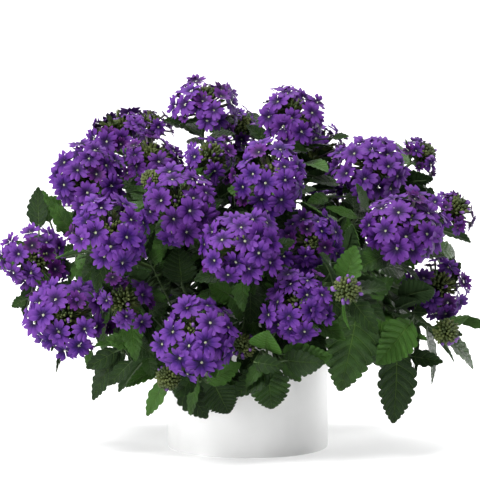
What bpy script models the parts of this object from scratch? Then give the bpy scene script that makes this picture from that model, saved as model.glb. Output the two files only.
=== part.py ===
"""Verbena in full bloom in a plain white cylinder pot.

Metres, +Z up, with the origin at the middle of the pot's foot. Each leafy stem is one solid with its
leaves and buds, each flower head is one solid of florets round the stem that carries it, and the
stems stand in holes in the potting mix. The heads and the large leaves are placed where the
photograph shows them, and the rest of the leaves grow by a rule, each bent clear of what is there.
"""

import math
import random
from collections import namedtuple

import bmesh
import bpy
from mathutils import Matrix, Vector
from mathutils.bvhtree import BVHTree

# The pot and what fills it
POT_RADIUS = 0.075
POT_HEIGHT = 0.135
POT_WALL = 0.0048
POT_BASE = 0.006
POT_EDGE = 0.0012
POT_SIDES = 36
MIX_BELOW_RIM = 0.012
MIX_CROWN = 0.003
MIX_SIDES = 18
SEAT_GAP = 0.0003
STEM_ROOTED = 0.014
HOLE_SIDES = 6

# The photograph: a long lens, a little above the plant
FOCAL_PX = 2133.0
MIDDLE_PX = 240.0
FOOT_PX = (248.0, 445.0)
VIEW_DISTANCE = 2.0
VIEW_TILT = math.radians(4.0)

# Stems, heads and leaves
STEM_FOOT_RADIUS = 0.0026
HOLE_RADIUS = STEM_FOOT_RADIUS * 1.45
STEM_TOP_RADIUS = 0.0017
SHOOT_FOOT_RADIUS = 0.0020
STEM_STEPS = 4
SHOOT_STEPS = 4
HEAD_SEAT = 0.66
HEAD_CORE = 0.28
SPIKE_TOP = 0.12
CORE_BORE = 0.0026
CORE_THICK = 0.18
CORE_SIDES = 5
LIMB_POINTS = 15
PETALS = 5
VALLEY = 0.72
EYE_SUNK = 0.14
LIMB_LAYERS = 0.08
TUBE_RADIUS = 0.0012
THROAT_DROP = 0.42
BUD_FOOT = 0.0023
BUD_DEPTH = 0.0016
BLADE_THICKNESS = 0.0007
BLADE_ARCH = 0.12
LEAF_WOBBLE = 0.15
RULE_WOBBLE = 0.25
SKY_SHARE = 0.75
WIDE_BLADE = 0.023
PETIOLE_HALF_WIDTH = 0.0011
MIX_TOP = POT_HEIGHT - MIX_BELOW_RIM
PLANT_HEART = Vector((0.0, 0.0, 0.15))
TO_VIEWER = Vector((0.0, -2.2, 0.0))

# How the plant grows clear of itself
CLEARANCE = 0.0006
STEM_ROOM = 1.2
DOME_REACH = 1.14
DOME_FOOT = 0.62
CUP_OUTLINE = ((0.20, -0.50), (0.80, -0.66), (1.10, -0.40), (1.10, 0.20))
HEAD_CLEARANCE = 0.0018
POT_CLEARANCE = 0.002
GROUND_CLEARANCE = 0.006
STALK_SKIPPED = 0.0035
TRIES = 40
DEPTH_STEP = 0.004
STEM_RISE = 0.004
STEM_SPLAY = 16.0
STEM_PULL = 0.42
HEAD_PULL = 0.34
SHOOT_ALONG = 0.55
SHOOT_AHEAD = 0.8
STEM_WANDER = 0.0005
LEAF_WANDER = 0.0004
SHOOT_ANGLE = 0.8
SEED = 7

# Leaves that grow by rule, in pairs at these shares of a stem's length
RULE_LEAVES = 46
RULE_TRIES = 24
RULE_LENGTH = (0.050, 0.070)
RULE_WIDTH = (0.54, 0.66)
RULE_STALK = 0.009
BARE_FOOT = 0.012
FLOWER_STEM_LEVELS = ((0.30, 0.46), (0.46, 0.62), (0.18, 0.30))
LEAFY_SHOOT_LEVELS = ((0.98, 0.99), (0.55, 0.80), (0.30, 0.55))

# key, pixel of its middle, depth behind the pot's axis, radius, the head's axis as seen from the
# camera (share to the right, share upwards, towards the camera or away) and how open it is. A bud
# is a head still closed, and a tip is the end of a leafy shoot
Head = namedtuple("Head", "key px py depth radius right up facing kind")
HEADS = (
    Head("01", 205, 106, 0.000, 0.0305, 0.10, 0.75, 1, "open"),
    Head("02", 240, 127, 0.045, 0.0190, 0.45, 0.20, 1, "young"),
    Head("03", 292, 116, 0.000, 0.0305, 0.05, 0.72, 1, "open"),
    Head("04", 117, 131, 0.060, 0.0300, -0.30, 0.85, 1, "medium"),
    Head("05", 150, 125, 0.108, 0.0210, 0.30, 0.80, 1, "young"),
    Head("06", 89, 177, -0.045, 0.0325, 0.05, 0.40, 1, "full"),
    Head("07", 151, 160, 0.005, 0.0285, 0.00, 0.70, 1, "medium"),
    Head("08", 211, 160, -0.045, 0.0235, 0.00, 0.55, 1, "young"),
    Head("09", 180, 206, -0.125, 0.0325, 0.05, 0.18, 1, "open"),
    Head("10", 270, 178, -0.105, 0.0320, 0.00, 0.28, 1, "open"),
    Head("11", 241, 248, -0.168, 0.0330, -0.10, 0.42, 1, "full"),
    Head("12", 310, 243, -0.090, 0.0280, 0.12, 0.02, 1, "open"),
    Head("13", 371, 168, -0.015, 0.0330, -0.10, 0.60, 1, "full"),
    Head("14", 420, 157, 0.040, 0.0200, 0.70, 0.50, 1, "young"),
    Head("15", 404, 229, -0.100, 0.0360, 0.00, 0.62, 1, "full"),
    Head("16", 453, 212, 0.005, 0.0215, 0.50, 0.55, 1, "young"),
    Head("17", 111, 236, -0.105, 0.0335, 0.22, 0.28, 1, "open"),
    Head("18", 36, 260, -0.030, 0.0300, 0.20, 0.10, 1, "open"),
    Head("19", 67, 317, -0.082, 0.0350, -0.12, 0.12, 1, "open"),
    Head("20", 124, 302, -0.130, 0.0235, -0.10, 0.25, 1, "young"),
    Head("21", 197, 339, -0.150, 0.0345, -0.22, 0.30, 1, "open"),
    Head("22", 298, 305, -0.155, 0.0300, 0.00, 0.30, 1, "open"),
    Head("23", 438, 289, -0.040, 0.0295, 0.15, 0.30, 1, "medium"),
    Head("24", 100, 215, 0.095, 0.0330, -0.55, 0.45, -1, "back"),
    Head("25", 178, 225, 0.160, 0.0350, -0.20, 0.40, -1, "back"),
    Head("26", 262, 205, 0.165, 0.0350, 0.10, 0.45, -1, "back"),
    Head("27", 345, 215, 0.145, 0.0350, 0.35, 0.40, -1, "back"),
    Head("28", 232, 165, 0.105, 0.0340, 0.00, 0.80, -1, "back"),
    Head("29", 315, 152, 0.080, 0.0330, 0.30, 0.75, -1, "back"),
    Head("30", 140, 300, 0.140, 0.0340, -0.45, 0.10, -1, "back"),
    Head("31", 300, 300, 0.165, 0.0350, 0.25, 0.10, -1, "back"),
    Head("bud_1", 347, 290, -0.150, 0.014, 0.05, 0.20, 1, "bud"),
    Head("bud_2", 446, 332, -0.055, 0.014, 0.20, -0.20, 1, "bud"),
    Head("bud_3", 243, 346, -0.150, 0.013, 0.10, 0.20, 1, "bud"),
    Head("bud_4", 168, 378, -0.128, 0.013, -0.10, -0.10, 1, "bud"),
    Head("bud_5", 151, 179, -0.060, 0.011, 0.10, 0.60, 1, "bud"),
    Head("tip_1", 404, 338, -0.085, 0.010, 0.15, -0.75, 1, "tip"),
    Head("tip_2", 303, 337, -0.125, 0.010, 0.00, -0.80, 1, "tip"),
    Head("tip_3", 262, 356, -0.132, 0.010, 0.10, -0.60, 1, "tip"),
    Head("tip_4", 200, 381, -0.120, 0.010, 0.10, -0.75, 1, "tip"),
    Head("tip_5", 122, 352, -0.095, 0.010, -0.30, -0.70, 1, "tip"),
    Head("tip_6", 92, 300, 0.040, 0.010, -0.65, -0.55, -1, "tip"),
    Head("tip_7", 170, 335, 0.120, 0.010, -0.25, -0.65, -1, "tip"),
    Head("tip_8", 245, 340, 0.128, 0.010, 0.00, -0.65, -1, "tip"),
    Head("tip_9", 325, 334, 0.118, 0.010, 0.25, -0.65, -1, "tip"),
    Head("tip_10", 398, 305, 0.045, 0.010, 0.65, -0.55, -1, "tip"),
)

# Florets of each kind of head in rings: how many, the ring's angle from the head's axis and its
# turn about the axis, both in degrees, and its distance from the head's middle as a share of the
# head's radius, then a floret's radius as a share of the head's
RINGS = {
    "full": (((2, 30, 0, 0.92), (5, 86, 20, 0.86)), 0.56),
    "open": (((3, 44, 0, 0.92), (5, 92, 25, 0.86)), 0.53),
    "medium": (((2, 34, 0, 0.92), (4, 82, 45, 0.86)), 0.55),
    "young": (((4, 76, 10, 0.86),), 0.56),
    "back": (((1, 8, 0, 0.92), (4, 76, 30, 0.86)), 0.60),
}
# Buds in the middle of each kind of head: how many, how far they lean out and how far they rise
BUDS = {
    "open": (3, 0.0045, 0.011),
    "medium": (3, 0.0040, 0.010),
    "young": (4, 0.0060, 0.010),
    "bud": (6, 0.0095, 0.008),
}

# name, azimuth of its root in degrees (0 to the right, 90 to the back), the root's distance from
# the pot's axis, and the heads that it carries, its leader first
Branch = namedtuple("Branch", "name azimuth reach heads")
BRANCHES = (
    Branch("stem_01", 150, 0.016, ("04", "05", "07")),
    Branch("stem_02", 200, 0.014, ("01", "08")),
    Branch("stem_03", 60, 0.016, ("03", "02")),
    Branch("stem_04", 5, 0.034, ("13", "14", "16", "tip_10")),
    Branch("stem_05", 330, 0.042, ("15", "23", "bud_2", "tip_1")),
    Branch("stem_06", 300, 0.044, ("12", "22", "bud_1", "tip_2")),
    Branch("stem_07", 275, 0.030, ("10", "11", "bud_3", "tip_3")),
    Branch("stem_08", 246, 0.044, ("09", "21", "bud_4", "tip_4")),
    Branch("stem_09", 215, 0.046, ("17", "20", "19", "tip_5")),
    Branch("stem_10", 184, 0.040, ("06", "18", "bud_5", "tip_6")),
    Branch("stem_11", 128, 0.044, ("25", "24", "30", "tip_7")),
    Branch("stem_12", 92, 0.026, ("28", "26", "tip_8")),
    Branch("stem_13", 58, 0.044, ("27", "29", "31", "tip_9")),
)

# Large leaves that the photograph shows: branch, pixel and depth of the blade's root, pixel and
# depth of its tip, and its width
SeenLeaf = namedtuple("SeenLeaf", "branch root_px root_py root_depth tip_px tip_py tip_depth width")
SEEN_LEAVES = (
    SeenLeaf("stem_06", 358, 308, -0.118, 340, 392, -0.110, 0.050),
    SeenLeaf("stem_05", 397, 350, -0.092, 393, 423, -0.085, 0.038),
    SeenLeaf("stem_05", 410, 322, -0.098, 376, 362, -0.118, 0.036),
    SeenLeaf("stem_05", 410, 356, -0.070, 443, 362, -0.075, 0.017),
    SeenLeaf("stem_04", 436, 250, -0.020, 459, 256, 0.000, 0.018),
    SeenLeaf("stem_06", 356, 302, -0.085, 394, 278, -0.090, 0.024),
    SeenLeaf("stem_07", 267, 367, -0.118, 272, 410, -0.110, 0.038),
    SeenLeaf("stem_06", 307, 334, -0.120, 304, 377, -0.112, 0.036),
    SeenLeaf("stem_07", 254, 362, -0.146, 284, 367, -0.150, 0.018),
    SeenLeaf("stem_07", 262, 340, -0.128, 268, 312, -0.138, 0.016),
    SeenLeaf("stem_08", 182, 387, -0.112, 202, 422, -0.108, 0.028),
    SeenLeaf("stem_08", 214, 384, -0.112, 229, 413, -0.106, 0.034),
    SeenLeaf("stem_08", 207, 383, -0.134, 241, 363, -0.132, 0.019),
    SeenLeaf("stem_09", 132, 361, -0.105, 109, 385, -0.100, 0.016),
    SeenLeaf("stem_08", 144, 362, -0.110, 162, 394, -0.110, 0.015),
    SeenLeaf("stem_09", 134, 345, -0.108, 107, 338, -0.114, 0.017),
    SeenLeaf("stem_09", 34, 290, -0.020, 14, 308, -0.030, 0.013),
    SeenLeaf("stem_10", 22, 258, 0.000, -3, 268, 0.010, 0.018),
    SeenLeaf("stem_10", 36, 226, -0.010, 29, 178, 0.000, 0.023),
    SeenLeaf("stem_10", 50, 222, 0.012, 42, 190, 0.020, 0.020),
    SeenLeaf("stem_02", 186, 126, 0.020, 164, 120, 0.012, 0.015),
    SeenLeaf("stem_02", 203, 146, -0.002, 227, 146, -0.008, 0.019),
    SeenLeaf("stem_03", 272, 138, 0.008, 254, 124, 0.012, 0.016),
    SeenLeaf("stem_03", 324, 135, -0.006, 321, 169, -0.028, 0.020),
    SeenLeaf("stem_08", 182, 284, -0.088, 178, 246, -0.092, 0.032),
    SeenLeaf("stem_08", 150, 316, -0.110, 166, 306, -0.125, 0.014),
    SeenLeaf("stem_07", 228, 300, -0.120, 206, 282, -0.130, 0.022),
)

WELD = 0.00001
VIOLET = (0.16, 0.03, 0.36, 1.0)
GREEN = (0.045, 0.115, 0.025, 1.0)
WHITE = (0.86, 0.86, 0.85, 1.0)
SOIL = (0.030, 0.020, 0.013, 1.0)

Bloom = namedtuple("Bloom", "key centre axis radius kind")
Stem = namedtuple("Stem", "branch head points radii")
Leaf = namedtuple("Leaf", "branch joint root middle tip normal width teeth")
Plant = namedtuple("Plant", "blooms stems leaves")


# The growth rule: where every head, stem and leaf is


def ray(px, py):
    """The way from the camera through a pixel of the photograph."""
    ahead = Vector((0.0, math.cos(VIEW_TILT), -math.sin(VIEW_TILT)))
    up = Vector((0.0, math.sin(VIEW_TILT), math.cos(VIEW_TILT)))
    return ahead + Vector((px - MIDDLE_PX, 0.0, 0.0)) / FOCAL_PX + up * ((MIDDLE_PX - py) / FOCAL_PX)


def seen(px, py, depth):
    """The point at this depth behind the pot's axis that shows at this pixel."""
    eye = ray(*FOOT_PX) * -VIEW_DISTANCE
    along = ray(px, py)
    return eye + along * ((depth - eye.y) / along.y)


def bloom_of(head, further=0.0):
    """Where a head is, this much further back than in the table, and which way it faces."""
    towards = Vector((0.0, -math.cos(VIEW_TILT), math.sin(VIEW_TILT)))
    up = Vector((0.0, math.sin(VIEW_TILT), math.cos(VIEW_TILT)))
    share = math.sqrt(max(0.0, 1.0 - head.right**2 - head.up**2))
    axis = Vector((head.right, 0.0, 0.0)) + up * head.up + towards * (share * head.facing)
    centre = seen(head.px, head.py, head.depth + further)
    return Bloom(head.key, centre, axis.normalized(), head.radius, head.kind)


def curve_point(ends, t):
    """A point of a Bezier curve with four ends."""
    a, b, c, d = ends
    s = 1.0 - t
    return a * s**3 + b * (3 * s * s * t) + c * (3 * s * t * t) + d * t**3


def square_to(axis):
    """Two unit ways square to an axis and to each other."""
    helper = Vector((0.0, 0.0, 1.0)) if abs(axis.z) < 0.9 else Vector((1.0, 0.0, 0.0))
    first = axis.cross(helper).normalized()
    return first, axis.cross(first).normalized()


def frame_at(point, axis):
    """The place and turn of something modelled at the origin along Z, with its Z along an axis."""
    first, second = square_to(axis)
    return Matrix.Translation(point) @ Matrix((first, second, axis)).transposed().to_4x4()


def tube_shell(points, radii):
    """A four-sided tube, as points and faces, a little thicker than the stem."""
    corners = []
    for i, point in enumerate(points):
        way = (points[min(i + 1, len(points) - 1)] - points[max(i - 1, 0)]).normalized()
        first, second = square_to(way)
        reach = radii[i] * STEM_ROOM + CLEARANCE
        corners += [point + side * reach for side in (first, second, -first, -second)]
    return corners, box_tube_faces(len(points))


def box_tube_faces(rows):
    """The faces of a closed tube of four-cornered rows."""
    last = 4 * rows
    faces = [(0, 1, 2, 3), (last - 1, last - 2, last - 3, last - 4)]
    for i in range(rows - 1):
        for k in range(4):
            faces.append((4 * i + k, 4 * i + (k + 1) % 4, 4 * i + 4 + (k + 1) % 4, 4 * i + 4 + k))
    return faces


def turned_shell(centre, axis, outline, sides):
    """An outline of (reach from the axis, place along it) turned round an axis."""
    first, second = square_to(axis)
    corners, faces = [], []
    for reach, place in outline:
        for k in range(sides):
            turn = 2 * math.pi * k / sides
            out = first * math.cos(turn) + second * math.sin(turn)
            corners.append(centre + axis * place + out * reach)
    for i in range(len(outline) - 1):
        for k in range(sides):
            a, b = sides * i + k, sides * i + (k + 1) % sides
            faces.append((a, b, b + sides, a + sides))
    return corners, faces


def dome_shell(bloom):
    """The room that a head takes up: a dome over its florets, closed to the stem below."""
    reach = bloom.radius * DOME_REACH + HEAD_CLEARANCE
    leans = [math.radians(lean) for lean in (1, 26, 52, 78, 104, 124)]
    outline = [(reach * math.sin(lean), reach * math.cos(lean)) for lean in leans]
    outline.append((0.1 * bloom.radius, -DOME_FOOT * bloom.radius))
    return turned_shell(bloom.centre, bloom.axis, outline, 12)


def cup_shell(bloom):
    """The room of a head's florets, open in the middle where its own stem comes in."""
    outline = [(reach * bloom.radius, place * bloom.radius) for reach, place in CUP_OUTLINE]
    return turned_shell(bloom.centre, bloom.axis, outline, 12)


def pot_shell():
    """The pot's wall, to keep clear of."""
    outer, inner = POT_RADIUS + POT_CLEARANCE, POT_RADIUS - POT_WALL - POT_CLEARANCE
    top = POT_HEIGHT + POT_CLEARANCE
    outline = ((outer, 0.0), (outer, top), (inner, top), (inner, MIX_TOP - MIX_CROWN))
    return turned_shell(Vector((0.0, 0.0, 0.0)), Vector((0.0, 0.0, 1.0)), outline, POT_SIDES)


class Thicket:
    """What is placed so far, each with its owner, to hold the next piece against."""

    def __init__(self):
        self.shells = []

    def add(self, shell, owner):
        corners, faces = shell
        self.shells.append((BVHTree.FromPolygons(corners, faces), box_of(corners), owner))

    def is_clear(self, shell, passes=()):
        corners, faces = shell
        tree, (low, high) = BVHTree.FromPolygons(corners, faces), box_of(corners)
        for other, (other_low, other_high), owner in self.shells:
            if owner in passes:
                continue
            apart = any(low[k] > other_high[k] or other_low[k] > high[k] for k in range(3))
            if not apart and tree.overlap(other):
                return False
        return True


def box_of(corners):
    """The lowest and highest corner round some points."""
    low = [min(c[k] for c in corners) for k in range(3)]
    return low, [max(c[k] for c in corners) for k in range(3)]


def shaken(dice, reach):
    """A random step of at most this reach along each axis."""
    return Vector([dice.uniform(-reach, reach) for _ in range(3)])


def stem_route(start, way, seat, axis, dice, wander):
    """The four ends of a stem's curve from its start to the seat under its head."""
    span = (seat - start).length
    first = start + way * span * STEM_PULL + shaken(dice, wander)
    last = seat - axis * span * HEAD_PULL + shaken(dice, wander)
    return start, first, last, seat


def settle_heads(thicket):
    """Every head where it shows in the photograph, moved in depth where it would cross another."""
    blooms = {}
    for head in HEADS:
        for step in range(2 * TRIES):
            further = (step + 1) // 2 * DEPTH_STEP * (-1) ** step
            bloom = bloom_of(head, further)
            if head.kind == "tip" or thicket.is_clear(dome_shell(bloom)):
                break
        else:
            print("no room for head", head.key)
        if head.kind != "tip":
            thicket.add(dome_shell(bloom), "head " + head.key)
        blooms[head.key] = bloom
    return blooms


def stem_line(branch, bloom, ends, steps, foot_radius, foot=None):
    """A stem along a curve and on through the middle of its head, thinner to its top."""
    points = [curve_point(ends, i / steps) for i in range(steps + 1)]
    points = ([foot] if foot else []) + points + [bloom.centre + bloom.axis * bloom.radius * SPIKE_TOP]
    count = len(points) - 1
    radii = [foot_radius + (STEM_TOP_RADIUS - foot_radius) * i / count for i in range(count + 1)]
    return Stem(branch.name, bloom.key, points, radii)


def is_free(thicket, stem, bloom, passes, first=0):
    """Whether a stem is clear of the thicket and of its own head's florets."""
    shell = tube_shell(stem.points[first:], stem.radii[first:])
    cup = BVHTree.FromPolygons(*cup_shell(bloom))
    if bloom.kind in RINGS and BVHTree.FromPolygons(*shell).overlap(cup):
        return False
    return thicket.is_clear(shell, passes)


def grow_leader(thicket, branch, bloom, dice):
    """The stem that stands in the mix, bent until it is clear of everything else."""
    turn = math.radians(branch.azimuth)
    out = Vector((math.cos(turn), math.sin(turn), 0.0))
    foot = out * branch.reach + Vector((0.0, 0.0, MIX_TOP - STEM_ROOTED))
    start = foot + Vector((0.0, 0.0, STEM_ROOTED + STEM_RISE))
    way = (out * branch.reach * STEM_SPLAY + Vector((0.0, 0.0, 1.0))).normalized()
    seat = bloom.centre - bloom.axis * bloom.radius * HEAD_SEAT
    passes = ("head " + bloom.key,)
    for attempt in range(3 * TRIES):
        ends = stem_route(start, way, seat, bloom.axis, dice, STEM_WANDER * attempt)
        stem = stem_line(branch, bloom, ends, STEM_STEPS, STEM_FOOT_RADIUS, foot)
        if is_free(thicket, stem, bloom, passes, 1):
            return stem
    print("no clear way for the leader to head", bloom.key)
    return stem


def grow_shoot(thicket, branch, bloom, leader, dice):
    """A side shoot from inside the leader to a head, from where it leaves at the most natural angle."""
    seat = bloom.centre - bloom.axis * bloom.radius * HEAD_SEAT
    passes = ("head " + bloom.key, branch.name + " stem")
    joints = []
    for a, b in zip(leader.points[1:-3], leader.points[2:-2]):
        for share in (0.35, 0.75):
            joint, along = a.lerp(b, share), (b - a).normalized()
            cost = abs(along.angle(seat - joint) - SHOOT_ANGLE) + (seat - joint).length * 3
            joints.append((cost, joint, along))
    joints.sort(key=lambda row: row[0])
    for attempt in range(6 * TRIES):
        _, joint, along = joints[attempt % min(len(joints), 5)]
        way = (along * SHOOT_ALONG + (seat - joint).normalized() * SHOOT_AHEAD).normalized()
        ends = stem_route(joint, way, seat, bloom.axis, dice, STEM_WANDER * attempt)
        stem = stem_line(branch, bloom, ends, SHOOT_STEPS, SHOOT_FOOT_RADIUS)
        if is_free(thicket, stem, bloom, passes):
            return stem
    print("no clear way for the shoot to head", bloom.key)
    return stem


def blade_rows(leaf):
    """The left and right margin of a leaf row by row, with its teeth, from its joint to its tip."""
    step = 1.0 / (leaf.teeth + 0.55)
    places = [(0.0, 0.0)]
    for k in range(leaf.teeth):
        places += [((k + 0.78) * step, 1.0), ((k + 1.06) * step, 0.78)]
    places[-1] = (1.0, 0.0)
    stalk = (leaf.root - leaf.joint).normalized()
    side = (leaf.middle - leaf.root).normalized().cross(leaf.normal)
    side = (side - stalk * side.dot(stalk)).normalized()
    rows = [(leaf.joint - side * PETIOLE_HALF_WIDTH, leaf.joint + side * PETIOLE_HALF_WIDTH)]
    for t, share in places:
        s = 1.0 - t
        centre = leaf.root * s * s + leaf.middle * (2 * s * t) + leaf.tip * (t * t)
        way = ((leaf.middle - leaf.root) * s + (leaf.tip - leaf.middle) * t).normalized()
        side = way.cross(leaf.normal).normalized()
        half = leaf.width / 2 * math.sin(math.pi * t**0.72) ** 0.8 * share
        half = 0.0 if t == 1.0 else max(PETIOLE_HALF_WIDTH, half)
        rows.append((centre - side * half, centre + side * half))
    return rows


def blade_shell(rows, thickness):
    """A closed strip of this thickness round some rows."""
    corners = []
    for i, (left, right) in enumerate(rows):
        before, after = rows[max(i - 1, 0)], rows[min(i + 1, len(rows) - 1)]
        way = (after[0] + after[1] - before[0] - before[1]).normalized()
        across = right - left if (right - left).length > 1e-5 else rows[i - 1][1] - rows[i - 1][0]
        lift = across.cross(way).normalized() * thickness / 2
        spread = across.normalized() * CLEARANCE
        corners += [left - spread + lift, right + spread + lift, right + spread - lift, left - spread - lift]
    return corners, box_tube_faces(len(rows))


def place_leaf(thicket, leaf):
    """Adds a leaf if it is clear of all but the stem it grows from, and says whether it was."""
    rows = blade_rows(leaf)
    if min(min(left.z, right.z) for left, right in rows) < GROUND_CLEARANCE:
        return False
    bare = min(0.5, STALK_SKIPPED / (leaf.root - leaf.joint).length)
    near = blade_rows(leaf._replace(joint=leaf.joint.lerp(leaf.root, bare)))[:2]
    blade = blade_shell(rows[1:], BLADE_THICKNESS + 2 * CLEARANCE)
    petiole = blade_shell(near, BLADE_THICKNESS + 2 * CLEARANCE)
    own = (leaf.branch + " stem",)
    if not thicket.is_clear(blade) or not thicket.is_clear(petiole, own):
        return False
    thicket.add(blade, leaf.branch + " leaf")
    thicket.add(petiole, leaf.branch + " petiole")
    return True


def leaf_between(branch, joint, root, tip, width, teeth, dice, wobble, towards):
    """A leaf arched a little between its root and its tip, its upper face out, up and towards a way."""
    way = (tip - root).normalized()
    out = (tip - PLANT_HEART).normalized()
    wanted = out + Vector((0.0, 0.0, SKY_SHARE)) + towards + shaken(dice, wobble)
    normal = (wanted - way * wanted.dot(way)).normalized()
    middle = (root + tip) / 2 + normal * (tip - root).length * BLADE_ARCH
    return Leaf(branch, joint, root, middle, tip, normal, width, teeth)


def best_joint(stems, branch, root, tip):
    """The point of a branch's stems from which a short stalk runs on into the blade."""
    best, least = None, 1e9
    for stem in stems:
        if stem.branch != branch:
            continue
        for a, b in zip(stem.points[1:-2], stem.points[2:-1]):
            for share in (0.1, 0.4, 0.7, 1.0):
                spot = a.lerp(b, share)
                bend = (root - spot).angle(tip - root)
                cost = (root - spot).length * (1.0 + bend * bend)
                if cost < least:
                    best, least = spot, cost
    return best


def grow_seen_leaves(thicket, stems, dice):
    """The large leaves of the photograph, each moved a little where it would cross something."""
    leaves = []
    for number, row in enumerate(SEEN_LEAVES):
        root = seen(row.root_px, row.root_py, row.root_depth)
        tip = seen(row.tip_px, row.tip_py, row.tip_depth)
        teeth = 3 if row.width > WIDE_BLADE else 2
        for attempt in range(3 * TRIES):
            reach = LEAF_WANDER * attempt
            moved_root, moved_tip = root + shaken(dice, reach), tip + shaken(dice, reach)
            joint = best_joint(stems, row.branch, moved_root, moved_tip)
            leaf = leaf_between(
                row.branch, joint, moved_root, moved_tip, row.width, teeth, dice, LEAF_WOBBLE, TO_VIEWER,
            )
            if place_leaf(thicket, leaf):
                leaves.append(leaf)
                break
        else:
            print("no room for seen leaf", number, row.branch)
    return leaves


def rule_leaf(stem, low, high, turn, dice):
    """A leaf between two shares of a stem's length, turned this far about the stem."""
    place = dice.uniform(low, high) * (len(stem.points) - 1)
    index = min(int(place), len(stem.points) - 2)
    a, b = stem.points[index], stem.points[index + 1]
    joint = a.lerp(b, place - index)
    along = (b - a).normalized()
    first, second = square_to(along)
    out = first * math.cos(turn) + second * math.sin(turn)
    length = dice.uniform(*RULE_LENGTH)
    lean = 1.1 if low > 0.9 else 0.5
    way = (out + along * lean + shaken(dice, 0.3)).normalized()
    root = joint + way * RULE_STALK
    tip = root + way * length - Vector((0.0, 0.0, length * dice.uniform(0.05, 0.4)))
    width = length * dice.uniform(*RULE_WIDTH)
    return leaf_between(stem.branch, joint, root, tip, width, 2, dice, RULE_WOBBLE, Vector())


def grow_pair(thicket, stem, low, high, turn, dice):
    """Up to two opposite leaves at about one height, each where it finds room."""
    pair = []
    for side in (0.0, math.pi):
        for _ in range(RULE_TRIES):
            leaf = rule_leaf(stem, low, high, turn + side + dice.uniform(-0.6, 0.6), dice)
            rooted = leaf.joint.xy.length < POT_RADIUS and leaf.joint.z < MIX_TOP + BARE_FOOT
            if not rooted and place_leaf(thicket, leaf):
                pair.append(leaf)
                break
    return pair


def grow_rule_leaves(thicket, stems, leaves, wanted, dice):
    """Pairs up the stems, each pair square to the one below, with the barest branch first."""
    grown = []
    for level in range(len(FLOWER_STEM_LEVELS)):
        count = {branch.name: 0 for branch in BRANCHES}
        for leaf in leaves + grown:
            count[leaf.branch] += 1
        for stem in sorted(stems, key=lambda stem: (count[stem.branch], stem.branch, stem.head)):
            levels = LEAFY_SHOOT_LEVELS if stem.head.startswith("tip") else FLOWER_STEM_LEVELS
            turn = math.pi / 2 * (level % 2) + dice.uniform(-0.4, 0.4)
            if len(grown) < wanted:
                grown += grow_pair(thicket, stem, *levels[level], turn, dice)
    return grown


def grow():
    """Every head, stem and leaf of the plant."""
    dice = random.Random(SEED)
    thicket = Thicket()
    thicket.add(pot_shell(), "pot")
    blooms = settle_heads(thicket)
    stems = []
    for branch in BRANCHES:
        leader = grow_leader(thicket, branch, blooms[branch.heads[0]], dice)
        grown = [leader]
        for key in branch.heads[1:]:
            grown.append(grow_shoot(thicket, branch, blooms[key], leader, dice))
        for stem in grown:
            thicket.add(tube_shell(stem.points, stem.radii), branch.name + " stem")
        stems += grown
    leaves = grow_seen_leaves(thicket, stems, dice)
    leaves += grow_rule_leaves(thicket, stems, leaves, RULE_LEAVES, dice)
    return Plant(blooms, stems, leaves)


# Building


def clear_scene():
    for obj in list(bpy.data.objects):
        bpy.data.objects.remove(obj)


def collection(name):
    made = bpy.data.collections.new(name)
    bpy.context.scene.collection.children.link(made)
    return made


def material(name, colour, roughness):
    made = bpy.data.materials.new(name)
    made.use_nodes = True
    shader = made.node_tree.nodes["Principled BSDF"]
    shader.inputs["Base Color"].default_value = colour
    shader.inputs["Roughness"].default_value = roughness
    shader.inputs["Metallic"].default_value = 0.0
    return made


def mesh_object(name, bm, where):
    mesh = bpy.data.meshes.new(name)
    bm.to_mesh(mesh)
    bm.free()
    obj = bpy.data.objects.new(name, mesh)
    where.objects.link(obj)
    return obj


def turned(name, profile, sides, where):
    """A closed turned solid from a profile in X and Z that runs down its outer side."""
    mesh = bpy.data.meshes.new(name)
    mesh.from_pydata([(x, 0.0, z) for x, z in profile], [(i, i + 1) for i in range(len(profile) - 1)], [])
    obj = bpy.data.objects.new(name, mesh)
    where.objects.link(obj)
    screw = obj.modifiers.new("Turn", "SCREW")
    screw.steps = screw.render_steps = sides
    screw.use_merge_vertices = True
    screw.merge_threshold = WELD
    return obj


def apply_modifiers(obj):
    graph = bpy.context.evaluated_depsgraph_get()
    mesh = bpy.data.meshes.new_from_object(obj.evaluated_get(graph))
    obj.modifiers.clear()
    obj.data = mesh


def union_all(obj, pieces):
    """Joins a collection of small pieces to an object as one body, and removes them."""
    union = obj.modifiers.new("Join", "BOOLEAN")
    union.operation = "UNION"
    union.operand_type = "COLLECTION"
    union.collection = pieces
    union.solver = "EXACT"
    apply_modifiers(obj)
    for piece in list(pieces.objects):
        bpy.data.objects.remove(piece)
    bpy.data.collections.remove(pieces)


def build_pot(where, finish):
    """An open cylinder with a plain wall and a flat base."""
    inner = POT_RADIUS - POT_WALL
    profile = (
        (0.0, POT_BASE),
        (inner, POT_BASE),
        (inner, POT_HEIGHT - POT_EDGE),
        (inner + POT_EDGE, POT_HEIGHT),
        (POT_RADIUS - POT_EDGE, POT_HEIGHT),
        (POT_RADIUS, POT_HEIGHT - POT_EDGE),
        (POT_RADIUS, POT_EDGE),
        (POT_RADIUS - POT_EDGE, 0.0),
        (0.0, 0.0),
    )
    pot = turned("pot", profile, POT_SIDES, where)
    pot.data.materials.append(finish)
    return pot


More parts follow.
